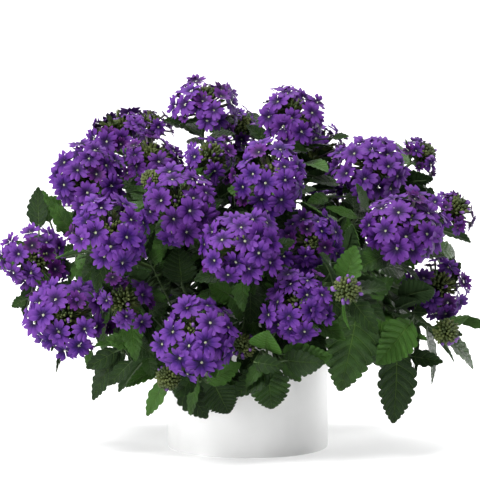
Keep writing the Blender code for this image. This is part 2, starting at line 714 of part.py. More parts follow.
def build_mix(where, cutters, finish):
    """The potting mix, a low mound with a plain hole for each stem."""
    reach = POT_RADIUS - POT_WALL - SEAT_GAP
    profile = (
        (0.0, MIX_TOP),
        (reach * 0.72, MIX_TOP),
        (reach, MIX_TOP - MIX_CROWN),
        (reach, POT_BASE + SEAT_GAP),
        (0.0, POT_BASE + SEAT_GAP),
    )
    mix = turned("potting_mix", profile, MIX_SIDES, where)
    mix.data.materials.append(finish)
    for branch in BRANCHES:
        turn = math.radians(branch.azimuth)
        bm = bmesh.new()
        bmesh.ops.create_cone(
            bm, cap_ends=True, segments=HOLE_SIDES, radius1=HOLE_RADIUS, radius2=HOLE_RADIUS,
            depth=2 * (STEM_ROOTED + SEAT_GAP),
        )
        hole = mesh_object("hole_" + branch.name, bm, cutters)
        hole.location = (branch.reach * math.cos(turn), branch.reach * math.sin(turn), MIX_TOP)
        hole.hide_render = True
        hole.display_type = "WIRE"
    cut = mix.modifiers.new("Stem holes", "BOOLEAN")
    cut.operation = "DIFFERENCE"
    cut.operand_type = "COLLECTION"
    cut.collection = cutters
    cut.solver = "EXACT"
    return mix


def stem_tube(stem, where):
    """A square tube along a stem, as verbena stems are, made a mesh with its caps welded."""
    curve = bpy.data.curves.new("tube", "CURVE")
    curve.dimensions = "3D"
    curve.bevel_depth = 1.0
    curve.bevel_resolution = 0
    curve.use_fill_caps = True
    spline = curve.splines.new("POLY")
    spline.points.add(len(stem.points) - 1)
    for knot, point, radius in zip(spline.points, stem.points, stem.radii):
        knot.co = (*point, 1.0)
        knot.radius = radius
    guide = bpy.data.objects.new("tube", curve)
    where.objects.link(guide)
    graph = bpy.context.evaluated_depsgraph_get()
    mesh = bpy.data.meshes.new_from_object(guide.evaluated_get(graph))
    bpy.data.objects.remove(guide)
    bm = bmesh.new()
    bm.from_mesh(mesh)
    bmesh.ops.remove_doubles(bm, verts=bm.verts, dist=WELD)
    return mesh_object("tube", bm, where)


def leaf_blade(leaf, where):
    """A toothed blade on its stalk: a strip moved onto its margins and given its thickness."""
    rows = blade_rows(leaf)
    bm = bmesh.new()
    bmesh.ops.create_grid(bm, x_segments=1, y_segments=len(rows) - 1, size=1.0)
    ordered = sorted(bm.verts, key=lambda v: (round(v.co.y, 5), v.co.x))
    for vert, point in zip(ordered, [p for row in rows for p in row]):
        vert.co = point
    bmesh.ops.remove_doubles(bm, verts=ordered[-2:], dist=WELD)
    bmesh.ops.triangulate(bm, faces=bm.faces)
    blade = mesh_object("blade", bm, where)
    shell = blade.modifiers.new("Thickness", "SOLIDIFY")
    shell.thickness = BLADE_THICKNESS
    shell.offset = 0.0
    apply_modifiers(blade)
    return blade


def build_buds(bloom, where):
    """The tuft of pointed buds in the middle of a head, a crown that closes over the stem's end."""
    count, lean, rise = BUDS[bloom.kind]
    bm = bmesh.new()
    bmesh.ops.create_cone(
        bm, cap_ends=True, segments=2 * count, radius1=BUD_FOOT, radius2=BUD_FOOT, depth=BUD_DEPTH,
    )
    bmesh.ops.poke(bm, faces=[face for face in bm.faces if face.normal.z > 0.9])
    for vert in bm.verts:
        if vert.co.z < 0:
            continue
        place = round(math.atan2(vert.co.y, vert.co.x) / math.pi * count)
        if vert.co.length > BUD_DEPTH and place % 2 == 0:
            vert.co = vert.co.xy.normalized().to_3d() * (BUD_FOOT + lean)
            vert.co.z = BUD_DEPTH / 2 + rise
        elif vert.co.xy.length < BUD_FOOT / 2:
            vert.co.z += rise * 0.5
    top = bloom.centre + bloom.axis * bloom.radius * SPIKE_TOP
    bmesh.ops.transform(bm, matrix=frame_at(top, bloom.axis), verts=bm.verts)
    mesh_object("buds", bm, where)


def build_branch(branch, plant, where, finish):
    """One leafy stem with its side shoots, leaves and buds as one body."""
    pieces = collection("pieces")
    stems = [stem for stem in plant.stems if stem.branch == branch.name]
    leader = stem_tube(stems[0], where)
    leader.name = branch.name
    for stem in stems[1:]:
        stem_tube(stem, pieces)
    for leaf in plant.leaves:
        if leaf.branch == branch.name:
            leaf_blade(leaf, pieces)
    for stem in stems:
        if plant.blooms[stem.head].kind in BUDS:
            build_buds(plant.blooms[stem.head], pieces)
    union_all(leader, pieces)
    leader.data.materials.clear()
    leader.data.materials.append(finish)
    return leader


def floret(radius, foot, limb, where):
    """A floret: a limb of five petals lofted to a throat, and a slim tube from there to its foot."""
    way = (limb - foot).normalized()
    length = (limb - foot).length
    bm = bmesh.new()
    bmesh.ops.create_circle(bm, cap_ends=True, cap_tris=True, segments=LIMB_POINTS, radius=radius)
    for vert in bm.verts:
        place = round(math.atan2(vert.co.y, vert.co.x) / (2 * math.pi) * LIMB_POINTS)
        if vert.co.length < radius / 2:
            vert.co.z = -radius * EYE_SUNK
        elif place % (LIMB_POINTS // PETALS) == 0:
            vert.co *= VALLEY
    rim = [edge for edge in bm.edges if edge.is_boundary]
    drop = min(radius * THROAT_DROP, length * 0.5)
    tube = bmesh.ops.create_cone(
        bm, cap_ends=False, segments=3, radius1=0.0, radius2=TUBE_RADIUS, depth=length - drop,
    )["verts"]
    bmesh.ops.translate(bm, verts=tube, vec=(0.0, 0.0, -drop - (length - drop) / 2))
    bmesh.ops.remove_doubles(bm, verts=tube, dist=WELD)
    throat = [edge for edge in bm.edges if edge.is_boundary and edge not in rim]
    bmesh.ops.bridge_loops(bm, edges=rim + throat)
    bmesh.ops.triangulate(bm, faces=bm.faces)
    bmesh.ops.recalc_face_normals(bm, faces=bm.faces)
    turn = Vector((0.0, 0.0, 1.0)).rotation_difference(way).to_matrix().to_4x4()
    bmesh.ops.transform(bm, matrix=Matrix.Translation(limb) @ turn, verts=bm.verts)
    return mesh_object("floret", bm, where)


def build_bloom(bloom, where, finish):
    """A head: florets in rings on a collar that fits round the top of the stem."""
    core_centre = bloom.centre - bloom.axis * bloom.radius * HEAD_CORE
    thick = bloom.radius * CORE_THICK
    core_radius = CORE_BORE + thick / 2
    bpy.ops.mesh.primitive_torus_add(
        major_segments=CORE_SIDES, minor_segments=3, major_radius=core_radius, minor_radius=thick,
    )
    head = bpy.context.object
    for other in list(head.users_collection):
        other.objects.unlink(head)
    where.objects.link(head)
    head.name = "bloom_" + bloom.key
    head.data.transform(frame_at(core_centre, bloom.axis))
    pieces = collection("pieces")
    first, second = square_to(bloom.axis)
    rings, share = RINGS[bloom.kind]
    for count, lean, start, reach in rings:
        tilt = math.radians(lean)
        for k in range(count):
            turn = math.radians(start) + 2 * math.pi * k / count
            out = first * math.cos(turn) + second * math.sin(turn)
            layered = bloom.radius * (reach + LIMB_LAYERS * ((2 * k) % count) / count)
            limb = bloom.centre + (bloom.axis * math.cos(tilt) + out * math.sin(tilt)) * layered
            floret(bloom.radius * share, core_centre + out * core_radius * 0.9, limb, pieces)
    union_all(head, pieces)
    head.data.materials.clear()
    head.data.materials.append(finish)
    return head


def main():
    clear_scene()
    parts = collection("verbena_in_pot")
    cutters = collection("cutters")
    leaf_green = material("leaf_green", GREEN, 0.5)
    violet = material("petal_violet", VIOLET, 0.6)
    build_pot(parts, material("white_glaze", WHITE, 0.35))
    build_mix(parts, cutters, material("potting_mix", SOIL, 0.95))
    plant = grow()
    for branch in BRANCHES:
        build_branch(branch, plant, parts, leaf_green)
    for bloom in plant.blooms.values():
        if bloom.kind in RINGS:
            build_bloom(bloom, parts, violet)


main()
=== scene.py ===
"""The looks of a verbena in full bloom in a plain white cylinder pot.

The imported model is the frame. The same growth rule that placed its heads, stems and large leaves
runs here again, so that each finer piece stands where the solid that it replaces is. Between them
grow many smaller leaves, each held clear of what is there. Metres, +Z up, the origin at the middle
of the pot's foot, and -Y towards the camera.
"""

import logging
import math
import random
from dataclasses import dataclass, field, replace
from enum import Enum
from typing import Callable, Iterator, Optional, Sequence

import bmesh
import bpy
import numpy as np
from bpy.types import Material, Mesh, Node, NodeSocket, NodeTree, Object
from mathutils import Matrix, Vector
from mathutils.bvhtree import BVHTree


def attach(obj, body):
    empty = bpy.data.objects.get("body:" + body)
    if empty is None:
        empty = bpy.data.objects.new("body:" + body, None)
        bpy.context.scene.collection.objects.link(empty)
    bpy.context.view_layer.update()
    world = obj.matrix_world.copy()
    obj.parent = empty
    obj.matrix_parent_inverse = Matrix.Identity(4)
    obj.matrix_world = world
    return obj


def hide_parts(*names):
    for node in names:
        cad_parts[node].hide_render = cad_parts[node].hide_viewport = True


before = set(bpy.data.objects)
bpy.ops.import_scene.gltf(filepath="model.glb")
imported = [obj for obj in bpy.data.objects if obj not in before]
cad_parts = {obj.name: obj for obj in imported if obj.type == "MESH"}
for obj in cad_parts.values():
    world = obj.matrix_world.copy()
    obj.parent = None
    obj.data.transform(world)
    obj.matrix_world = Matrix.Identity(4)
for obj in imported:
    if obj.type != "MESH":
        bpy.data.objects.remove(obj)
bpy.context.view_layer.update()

LOG = logging.getLogger("verbena")
BODY = "root"
UP = Vector((0.0, 0.0, 1.0))
Colour = tuple[float, float, float, float]
Shell = tuple[list[Vector], list[tuple[int, ...]]]
Route = tuple[list[Vector], list[float]]


class Kind(Enum):
    """How far open a flower head is, or that a shoot ends in buds or in leaves."""

    FULL = "full"
    OPEN = "open"
    MEDIUM = "medium"
    YOUNG = "young"
    BACK = "back"
    BUD = "bud"
    TIP = "tip"


class Slot(Enum):
    """The record's material slots."""

    PETALS = "petal_violet"
    GREEN = "leaf_green"
    POT = "white_glaze"
    MIX = "potting_mix"


# The pot and what fills it
POT_RADIUS = 0.075
POT_HEIGHT = 0.135
POT_WALL = 0.0048
POT_SIDES = 36
MIX_BELOW_RIM = 0.012
MIX_CROWN = 0.003
MIX_TOP = POT_HEIGHT - MIX_BELOW_RIM
STEM_ROOTED = 0.014

# Stems, heads and leaves as the frame has them
STEM_FOOT_RADIUS = 0.0026
STEM_TOP_RADIUS = 0.0017
SHOOT_FOOT_RADIUS = 0.0020
STEM_STEPS = 4
SHOOT_STEPS = 4
HEAD_SEAT = 0.66
SPIKE_TOP = 0.12
BLADE_THICKNESS = 0.0007
BLADE_ARCH = 0.12
LEAF_WOBBLE = 0.15
RULE_WOBBLE = 0.25
SKY_SHARE = 0.75
WIDE_BLADE = 0.023
PETIOLE_HALF_WIDTH = 0.0011
PLANT_HEART = Vector((0.0, 0.0, 0.15))
TO_VIEWER = Vector((0.0, -2.2, 0.0))

# How the plant grows clear of itself
CLEARANCE = 0.0006
STEM_ROOM = 1.2
DOME_REACH = 1.14
DOME_FOOT = 0.62
DOME_LEANS = (1, 26, 52, 78, 104, 124)
SHELL_SIDES = 12
CUP_OUTLINE = ((0.20, -0.50), (0.80, -0.66), (1.10, -0.40), (1.10, 0.20))
HEAD_CLEARANCE = 0.0018
POT_CLEARANCE = 0.002
GROUND_CLEARANCE = 0.006
STALK_SKIPPED = 0.0035
TRIES = 40
DEPTH_STEP = 0.004
STEM_RISE = 0.004
STEM_SPLAY = 16.0
STEM_PULL = 0.42
HEAD_PULL = 0.34
SHOOT_ALONG = 0.55
SHOOT_AHEAD = 0.8
STEM_WANDER = 0.0005
LEAF_WANDER = 0.0004
SHOOT_ANGLE = 0.8
SEED = 7
RULE_LEAVES = 46
RULE_TRIES = 24
BARE_FOOT = 0.012
TOP_LEVEL = 0.9
TOP_LEAN = 1.1
SIDE_LEAN = 0.5
WAY_WOBBLE = 0.3
TIP_DROP = (0.05, 0.4)
PAIR_WOBBLE = 0.6
LEVEL_WOBBLE = 0.4
SHOOT_SHARES = (0.35, 0.75)
SHOOT_COST = 3
SHOOT_CHOICE = 5
STALK_SHARES = (0.1, 0.4, 0.7, 1.0)
FLOWER_STEM_LEVELS = ((0.30, 0.46), (0.46, 0.62), (0.18, 0.30))
LEAFY_SHOOT_LEVELS = ((0.98, 0.99), (0.55, 0.80), (0.30, 0.55))

# A blade's UV map: how many teeth a unit along it holds
TEETH_PER_UV = 10.0


@dataclass(frozen=True)
class Head:
    """A flower head, bud or leafy tip as the photograph shows it.

    Its key, the pixel of its middle, its depth behind the pot's axis, its radius, its axis as seen
    from the camera (share to the right, share upwards, towards the camera or away), and its kind.
    """

    key: str
    px: float
    py: float
    depth: float
    radius: float
    right: float
    up: float
    facing: int
    kind: Kind


@dataclass(frozen=True)
class Branch:
    """A stem that stands in the mix: its azimuth and distance from the pot's axis, and its heads."""

    name: str
    azimuth: float
    reach: float
    heads: tuple[str, ...]

    @property
    def outward(self) -> Vector:
        """The level way from the pot's axis to its foot."""
        return level_way(math.radians(self.azimuth))


@dataclass(frozen=True)
class SeenLeaf:
    """A leaf that the photograph shows: pixel and depth of its root and of its tip, and its width."""

    branch: str
    root_px: float
    root_py: float
    root_depth: float
    tip_px: float
    tip_py: float
    tip_depth: float
    width: float


def seen_leaves(*rows: tuple[float, ...]) -> tuple[SeenLeaf, ...]:
    """Leaves of the photograph, from rows that start with the number of their branch."""
    return tuple(SeenLeaf(f"stem_{number:02d}", *row) for number, *row in rows)


HEADS = tuple(Head(*row) for row in (
    ("01", 205, 106, 0.000, 0.0305, 0.10, 0.75, 1, Kind.OPEN),
    ("02", 240, 127, 0.045, 0.0190, 0.45, 0.20, 1, Kind.YOUNG),
    ("03", 292, 116, 0.000, 0.0305, 0.05, 0.72, 1, Kind.OPEN),
    ("04", 117, 131, 0.060, 0.0300, -0.30, 0.85, 1, Kind.MEDIUM),
    ("05", 150, 125, 0.108, 0.0210, 0.30, 0.80, 1, Kind.YOUNG),
    ("06", 89, 177, -0.045, 0.0325, 0.05, 0.40, 1, Kind.FULL),
    ("07", 151, 160, 0.005, 0.0285, 0.00, 0.70, 1, Kind.MEDIUM),
    ("08", 211, 160, -0.045, 0.0235, 0.00, 0.55, 1, Kind.YOUNG),
    ("09", 180, 206, -0.125, 0.0325, 0.05, 0.18, 1, Kind.OPEN),
    ("10", 270, 178, -0.105, 0.0320, 0.00, 0.28, 1, Kind.OPEN),
    ("11", 241, 248, -0.168, 0.0330, -0.10, 0.42, 1, Kind.FULL),
    ("12", 310, 243, -0.090, 0.0280, 0.12, 0.02, 1, Kind.OPEN),
    ("13", 371, 168, -0.015, 0.0330, -0.10, 0.60, 1, Kind.FULL),
    ("14", 420, 157, 0.040, 0.0200, 0.70, 0.50, 1, Kind.YOUNG),
    ("15", 404, 229, -0.100, 0.0360, 0.00, 0.62, 1, Kind.FULL),
    ("16", 453, 212, 0.005, 0.0215, 0.50, 0.55, 1, Kind.YOUNG),
    ("17", 111, 236, -0.105, 0.0335, 0.22, 0.28, 1, Kind.OPEN),
    ("18", 36, 260, -0.030, 0.0300, 0.20, 0.10, 1, Kind.OPEN),
    ("19", 67, 317, -0.082, 0.0350, -0.12, 0.12, 1, Kind.OPEN),
    ("20", 124, 302, -0.130, 0.0235, -0.10, 0.25, 1, Kind.YOUNG),
    ("21", 197, 339, -0.150, 0.0345, -0.22, 0.30, 1, Kind.OPEN),
    ("22", 298, 305, -0.155, 0.0300, 0.00, 0.30, 1, Kind.OPEN),
    ("23", 438, 289, -0.040, 0.0295, 0.15, 0.30, 1, Kind.MEDIUM),
    ("24", 100, 215, 0.095, 0.0330, -0.55, 0.45, -1, Kind.BACK),
    ("25", 178, 225, 0.160, 0.0350, -0.20, 0.40, -1, Kind.BACK),
    ("26", 262, 205, 0.165, 0.0350, 0.10, 0.45, -1, Kind.BACK),
    ("27", 345, 215, 0.145, 0.0350, 0.35, 0.40, -1, Kind.BACK),
    ("28", 232, 165, 0.105, 0.0340, 0.00, 0.80, -1, Kind.BACK),
    ("29", 315, 152, 0.080, 0.0330, 0.30, 0.75, -1, Kind.BACK),
    ("30", 140, 300, 0.140, 0.0340, -0.45, 0.10, -1, Kind.BACK),
    ("31", 300, 300, 0.165, 0.0350, 0.25, 0.10, -1, Kind.BACK),
    ("bud_1", 347, 290, -0.150, 0.014, 0.05, 0.20, 1, Kind.BUD),
    ("bud_2", 446, 332, -0.055, 0.014, 0.20, -0.20, 1, Kind.BUD),
    ("bud_3", 243, 346, -0.150, 0.013, 0.10, 0.20, 1, Kind.BUD),
    ("bud_4", 168, 378, -0.128, 0.013, -0.10, -0.10, 1, Kind.BUD),
    ("bud_5", 151, 179, -0.060, 0.011, 0.10, 0.60, 1, Kind.BUD),
    ("tip_1", 404, 338, -0.085, 0.010, 0.15, -0.75, 1, Kind.TIP),
    ("tip_2", 303, 337, -0.125, 0.010, 0.00, -0.80, 1, Kind.TIP),
    ("tip_3", 262, 356, -0.132, 0.010, 0.10, -0.60, 1, Kind.TIP),
    ("tip_4", 200, 381, -0.120, 0.010, 0.10, -0.75, 1, Kind.TIP),
    ("tip_5", 122, 352, -0.095, 0.010, -0.30, -0.70, 1, Kind.TIP),
    ("tip_6", 92, 300, 0.040, 0.010, -0.65, -0.55, -1, Kind.TIP),
    ("tip_7", 170, 335, 0.120, 0.010, -0.25, -0.65, -1, Kind.TIP),
    ("tip_8", 245, 340, 0.128, 0.010, 0.00, -0.65, -1, Kind.TIP),
    ("tip_9", 325, 334, 0.118, 0.010, 0.25, -0.65, -1, Kind.TIP),
    ("tip_10", 398, 305, 0.045, 0.010, 0.65, -0.55, -1, Kind.TIP),
))

BRANCHES = tuple(Branch(*row) for row in (
    ("stem_01", 150, 0.016, ("04", "05", "07")),
    ("stem_02", 200, 0.014, ("01", "08")),
    ("stem_03", 60, 0.016, ("03", "02")),
    ("stem_04", 5, 0.034, ("13", "14", "16", "tip_10")),
    ("stem_05", 330, 0.042, ("15", "23", "bud_2", "tip_1")),
    ("stem_06", 300, 0.044, ("12", "22", "bud_1", "tip_2")),
    ("stem_07", 275, 0.030, ("10", "11", "bud_3", "tip_3")),
    ("stem_08", 246, 0.044, ("09", "21", "bud_4", "tip_4")),
    ("stem_09", 215, 0.046, ("17", "20", "19", "tip_5")),
    ("stem_10", 184, 0.040, ("06", "18", "bud_5", "tip_6")),
    ("stem_11", 128, 0.044, ("25", "24", "30", "tip_7")),
    ("stem_12", 92, 0.026, ("28", "26", "tip_8")),
    ("stem_13", 58, 0.044, ("27", "29", "31", "tip_9")),
))

# The large leaves, which the frame has too
LARGE_SEEN_LEAVES = seen_leaves(
    (6, 358, 308, -0.118, 340, 392, -0.110, 0.050),
    (5, 397, 350, -0.092, 393, 423, -0.085, 0.038),
    (5, 410, 322, -0.098, 376, 362, -0.118, 0.036),
    (5, 410, 356, -0.070, 443, 362, -0.075, 0.017),
    (4, 436, 250, -0.020, 459, 256, 0.000, 0.018),
    (6, 356, 302, -0.085, 394, 278, -0.090, 0.024),
    (7, 267, 367, -0.118, 272, 410, -0.110, 0.038),
    (6, 307, 334, -0.120, 304, 377, -0.112, 0.036),
    (7, 254, 362, -0.146, 284, 367, -0.150, 0.018),
    (7, 262, 340, -0.128, 268, 312, -0.138, 0.016),
    (8, 182, 387, -0.112, 202, 422, -0.108, 0.028),
    (8, 214, 384, -0.112, 229, 413, -0.106, 0.034),
    (8, 207, 383, -0.134, 241, 363, -0.132, 0.019),
    (9, 132, 361, -0.105, 109, 385, -0.100, 0.016),
    (8, 144, 362, -0.110, 162, 394, -0.110, 0.015),
    (9, 134, 345, -0.108, 107, 338, -0.114, 0.017),
    (9, 34, 290, -0.020, 14, 308, -0.030, 0.013),
    (10, 22, 258, 0.000, -3, 268, 0.010, 0.018),
    (10, 36, 226, -0.010, 29, 178, 0.000, 0.023),
    (10, 50, 222, 0.012, 42, 190, 0.020, 0.020),
    (2, 186, 126, 0.020, 164, 120, 0.012, 0.015),
    (2, 203, 146, -0.002, 227, 146, -0.008, 0.019),
    (3, 272, 138, 0.008, 254, 124, 0.012, 0.016),
    (3, 324, 135, -0.006, 321, 169, -0.028, 0.020),
    (8, 182, 284, -0.088, 178, 246, -0.092, 0.032),
    (8, 150, 316, -0.110, 166, 306, -0.125, 0.014),
    (7, 228, 300, -0.120, 206, 282, -0.130, 0.022),
)

# Smaller ones, which grow only here
SMALL_SEEN_LEAVES = seen_leaves(
    (5, 460, 302, -0.030, 479, 311, -0.020, 0.012),
    (9, 92, 350, -0.060, 87, 366, -0.055, 0.010),
    (10, 62, 206, -0.008, 43, 198, -0.010, 0.013),
    (3, 332, 138, 0.010, 349, 136, 0.005, 0.009),
    (4, 358, 218, -0.045, 326, 207, -0.060, 0.011),
    (4, 370, 206, -0.060, 352, 187, -0.075, 0.012),
    (9, 80, 258, -0.090, 88, 277, -0.125, 0.013),
    (3, 296, 150, 0.005, 291, 138, -0.010, 0.012),
    (3, 341, 178, 0.010, 312, 184, -0.010, 0.014),
    (4, 330, 196, -0.010, 309, 205, -0.030, 0.014),
    (4, 352, 172, 0.010, 334, 152, 0.000, 0.015),
    (4, 446, 268, -0.010, 452, 244, 0.000, 0.016),
    (10, 62, 262, -0.050, 76, 245, -0.070, 0.014),
    (2, 176, 190, -0.010, 160, 172, -0.030, 0.013),
    (6, 345, 262, -0.060, 330, 240, -0.050, 0.015),
    (6, 352, 250, -0.070, 342, 222, -0.065, 0.016),
    (5, 372, 268, -0.080, 356, 244, -0.075, 0.018),
    (8, 150, 262, -0.090, 168, 246, -0.100, 0.016),
    (7, 262, 262, -0.100, 280, 240, -0.095, 0.015),
    (7, 246, 330, -0.092, 243, 372, -0.094, 0.020),
    (7, 234, 288, -0.092, 241, 322, -0.094, 0.018),
    (7, 254, 322, -0.094, 259, 352, -0.096, 0.018),
    (6, 280, 326, -0.088, 277, 356, -0.092, 0.018),
    (6, 292, 328, -0.086, 287, 366, -0.090, 0.020),
    (5, 380, 292, -0.050, 366, 318, -0.052, 0.018),
    (4, 408, 262, -0.020, 398, 292, -0.022, 0.018),
    (10, 66, 244, -0.020, 50, 208, -0.012, 0.018),
    (10, 70, 236, 0.010, 62, 206, 0.015, 0.016),
    (8, 120, 292, -0.070, 132, 268, -0.075, 0.016),
    (10, 60, 250, -0.030, 72, 278, -0.035, 0.020),
    (10, 74, 262, -0.045, 89, 277, -0.055, 0.018),
    (10, 74, 214, 0.015, 52, 234, 0.018, 0.020),
    (10, 140, 190, 0.020, 120, 180, 0.022, 0.018),
    (10, 142, 206, 0.020, 124, 196, 0.022, 0.016),
)


@dataclass(frozen=True)
class Bloom:
    """Where a head is, which way it faces, and its size and kind."""

    key: str
    centre: Vector
    axis: Vector
    radius: float
    kind: Kind


@dataclass(frozen=True)
class Stem:
    """A stem's line from its foot to the head that it carries, with a radius at each point."""

    branch: str
    head: str
    points: list[Vector]
    radii: list[float]


@dataclass(frozen=True)
class Leaf:
    """A leaf's line and upper face: its joint on the stem, the blade's root, middle and tip."""

    branch: str
    joint: Vector
    root: Vector
    middle: Vector
    tip: Vector
    normal: Vector
    width: float
    teeth: int

    def midrib(self, t: float) -> tuple[Vector, Vector]:
        """Where its midrib is at a share of the blade's length, and which way it runs."""
        s = 1.0 - t
        spot = self.root * s * s + self.middle * (2 * s * t) + self.tip * (t * t)
        return spot, ((self.middle - self.root) * s + (self.tip - self.middle) * t).normalized()


@dataclass(frozen=True)
class LeafSize:
    """The ranges that a leaf grown by rule takes its length and its share of width from."""

    length: tuple[float, float]
    width: tuple[float, float]
    stalk: float
    loose: float = 0.0


@dataclass
class Plant:
    """Every head, stem and leaf."""

    blooms: dict[str, Bloom]
    stems: list[Stem]
    leaves: list[Leaf] = field(default_factory=list)

    def stems_of(self, branch: str) -> list[Stem]:
        """The stems of one branch, its leader first."""
        return [stem for stem in self.stems if stem.branch == branch]

    def leaves_of(self, branch: str) -> list[Leaf]:
        """The leaves of one branch."""
        return [leaf for leaf in self.leaves if leaf.branch == branch]


@dataclass(frozen=True)
class Photograph:
    """The photograph's long lens, a little above the plant."""

    focal_px: float = 2133.0
    middle_px: float = 240.0
    foot_px: tuple[float, float] = (248.0, 445.0)
    distance: float = 2.0
    tilt: float = math.radians(4.0)

    @property
    def ahead(self) -> Vector:
        """The way that the camera looks."""
        return Vector((0.0, math.cos(self.tilt), -math.sin(self.tilt)))

    @property
    def upwards(self) -> Vector:
        """The way that is up in the picture."""
        return Vector((0.0, math.sin(self.tilt), math.cos(self.tilt)))

    def ray(self, px: float, py: float) -> Vector:
        """The way from the camera through a pixel of the photograph."""
        side = Vector((px - self.middle_px, 0.0, 0.0)) / self.focal_px
        return self.ahead + side + self.upwards * ((self.middle_px - py) / self.focal_px)

    def eye(self) -> Vector:
        """The camera's place."""
        return self.ray(*self.foot_px) * -self.distance

    def seen(self, px: float, py: float, depth: float) -> Vector:
        """The point at a depth behind the pot's axis that shows at a pixel."""
        eye, along = self.eye(), self.ray(px, py)
        return eye + along * ((depth - eye.y) / along.y)

    def bloom_of(self, head: Head, further: float = 0.0) -> Bloom:
        """Where a head is and which way it faces.

        Args:
            head: its row of the table.
            further: how much further back than in the table it stands.

        Returns:
            The head in the shared frame.
        """
        share = math.sqrt(max(0.0, 1.0 - head.right**2 - head.up**2)) * head.facing
        axis = Vector((head.right, 0.0, 0.0)) + self.upwards * head.up - self.ahead * share
        centre = self.seen(head.px, head.py, head.depth + further)
        return Bloom(head.key, centre, axis.normalized(), head.radius, head.kind)


# Geometry that the growth rule and the builders share


def curve_point(ends: Sequence[Vector], t: float) -> Vector:
    """A point of a Bezier curve with four ends."""
    a, b, c, d = ends
    s = 1.0 - t
    return a * s**3 + b * (3 * s * s * t) + c * (3 * s * t * t) + d * t**3


def level_way(turn: float) -> Vector:
    """The level unit way at an azimuth in radians."""
    return Vector((math.cos(turn), math.sin(turn), 0.0))


def square_to(axis: Vector) -> tuple[Vector, Vector]:
    """Two unit ways square to an axis and to each other."""
    helper = UP if abs(axis.z) < 0.9 else Vector((1.0, 0.0, 0.0))
    first = axis.cross(helper).normalized()
    return first, axis.cross(first).normalized()


def sideways(axis: Vector, turn: float) -> Vector:
    """The unit way square to an axis at a turn about it."""
    first, second = square_to(axis)
    return first * math.cos(turn) + second * math.sin(turn)


def graded(first: float, last: float, count: int) -> list[float]:
    """Evenly stepped values from the first to the last."""
    return [first + (last - first) * i / (count - 1) for i in range(count)]


def frame_at(point: Vector, axis: Vector) -> Matrix:
    """The place and turn of something modelled at the origin along Z, with its Z along an axis."""
    first, second = square_to(axis)
    return Matrix.Translation(point) @ Matrix((first, second, axis)).transposed().to_4x4()


def box_tube_faces(rows: int) -> list[tuple[int, ...]]:
    """The faces of a closed tube of four-cornered rows."""
    last = 4 * rows
    faces = [(0, 1, 2, 3), (last - 1, last - 2, last - 3, last - 4)]
    for i in range(rows - 1):
        for k in range(4):
            faces.append((4 * i + k, 4 * i + (k + 1) % 4, 4 * i + 4 + (k + 1) % 4, 4 * i + 4 + k))
    return faces


def tube_shell(points: list[Vector], radii: list[float]) -> Shell:
    """A four-sided tube, as points and faces, a little thicker than the stem."""
    corners = []
    for i, point in enumerate(points):
        way = (points[min(i + 1, len(points) - 1)] - points[max(i - 1, 0)]).normalized()
        first, second = square_to(way)
        reach = radii[i] * STEM_ROOM + CLEARANCE
        corners += [point + side * reach for side in (first, second, -first, -second)]
    return corners, box_tube_faces(len(points))


def turned_shell(centre: Vector, axis: Vector, outline: Sequence, sides: int) -> Shell:
    """An outline turned round an axis.

    Args:
        centre: where the outline's places are counted from.
        axis: the way that it is turned about.
        outline: rows of reach from the axis and place along it.
        sides: how many corners each row gets.

    Returns:
        The shell's points and faces, open at both ends.
    """
    corners = [
        centre + axis * place + sideways(axis, 2 * math.pi * k / sides) * reach
        for reach, place in outline for k in range(sides)
    ]
    faces = []
    for i in range(len(outline) - 1):
        for k in range(sides):
            a, b = sides * i + k, sides * i + (k + 1) % sides
            faces.append((a, b, b + sides, a + sides))
    return corners, faces


def dome_shell(bloom: Bloom) -> Shell:
    """The room that a head takes up: a dome over its florets, closed to the stem below."""
    reach = bloom.radius * DOME_REACH + HEAD_CLEARANCE
    leans = [math.radians(lean) for lean in DOME_LEANS]
    outline = [(reach * math.sin(lean), reach * math.cos(lean)) for lean in leans]
    outline.append((0.1 * bloom.radius, -DOME_FOOT * bloom.radius))
    return turned_shell(bloom.centre, bloom.axis, outline, SHELL_SIDES)


def cup_shell(bloom: Bloom) -> Shell:
    """The room of a head's florets, open in the middle where its own stem comes in."""
    outline = [(reach * bloom.radius, place * bloom.radius) for reach, place in CUP_OUTLINE]
    return turned_shell(bloom.centre, bloom.axis, outline, SHELL_SIDES)


def pot_shell() -> Shell:
    """The pot's wall, to keep clear of."""
    outer, inner = POT_RADIUS + POT_CLEARANCE, POT_RADIUS - POT_WALL - POT_CLEARANCE
    top = POT_HEIGHT + POT_CLEARANCE
    outline = ((outer, 0.0), (outer, top), (inner, top), (inner, MIX_TOP - MIX_CROWN))
    return turned_shell(Vector(), UP, outline, POT_SIDES)


def box_of(corners: list[Vector]) -> tuple[list[float], list[float]]:
    """The lowest and highest corner round some points."""
    low = [min(c[k] for c in corners) for k in range(3)]
    return low, [max(c[k] for c in corners) for k in range(3)]


def shaken(dice: random.Random, reach: float) -> Vector:
    """A random step of at most this reach along each axis."""
    return Vector([dice.uniform(-reach, reach) for _ in range(3)])


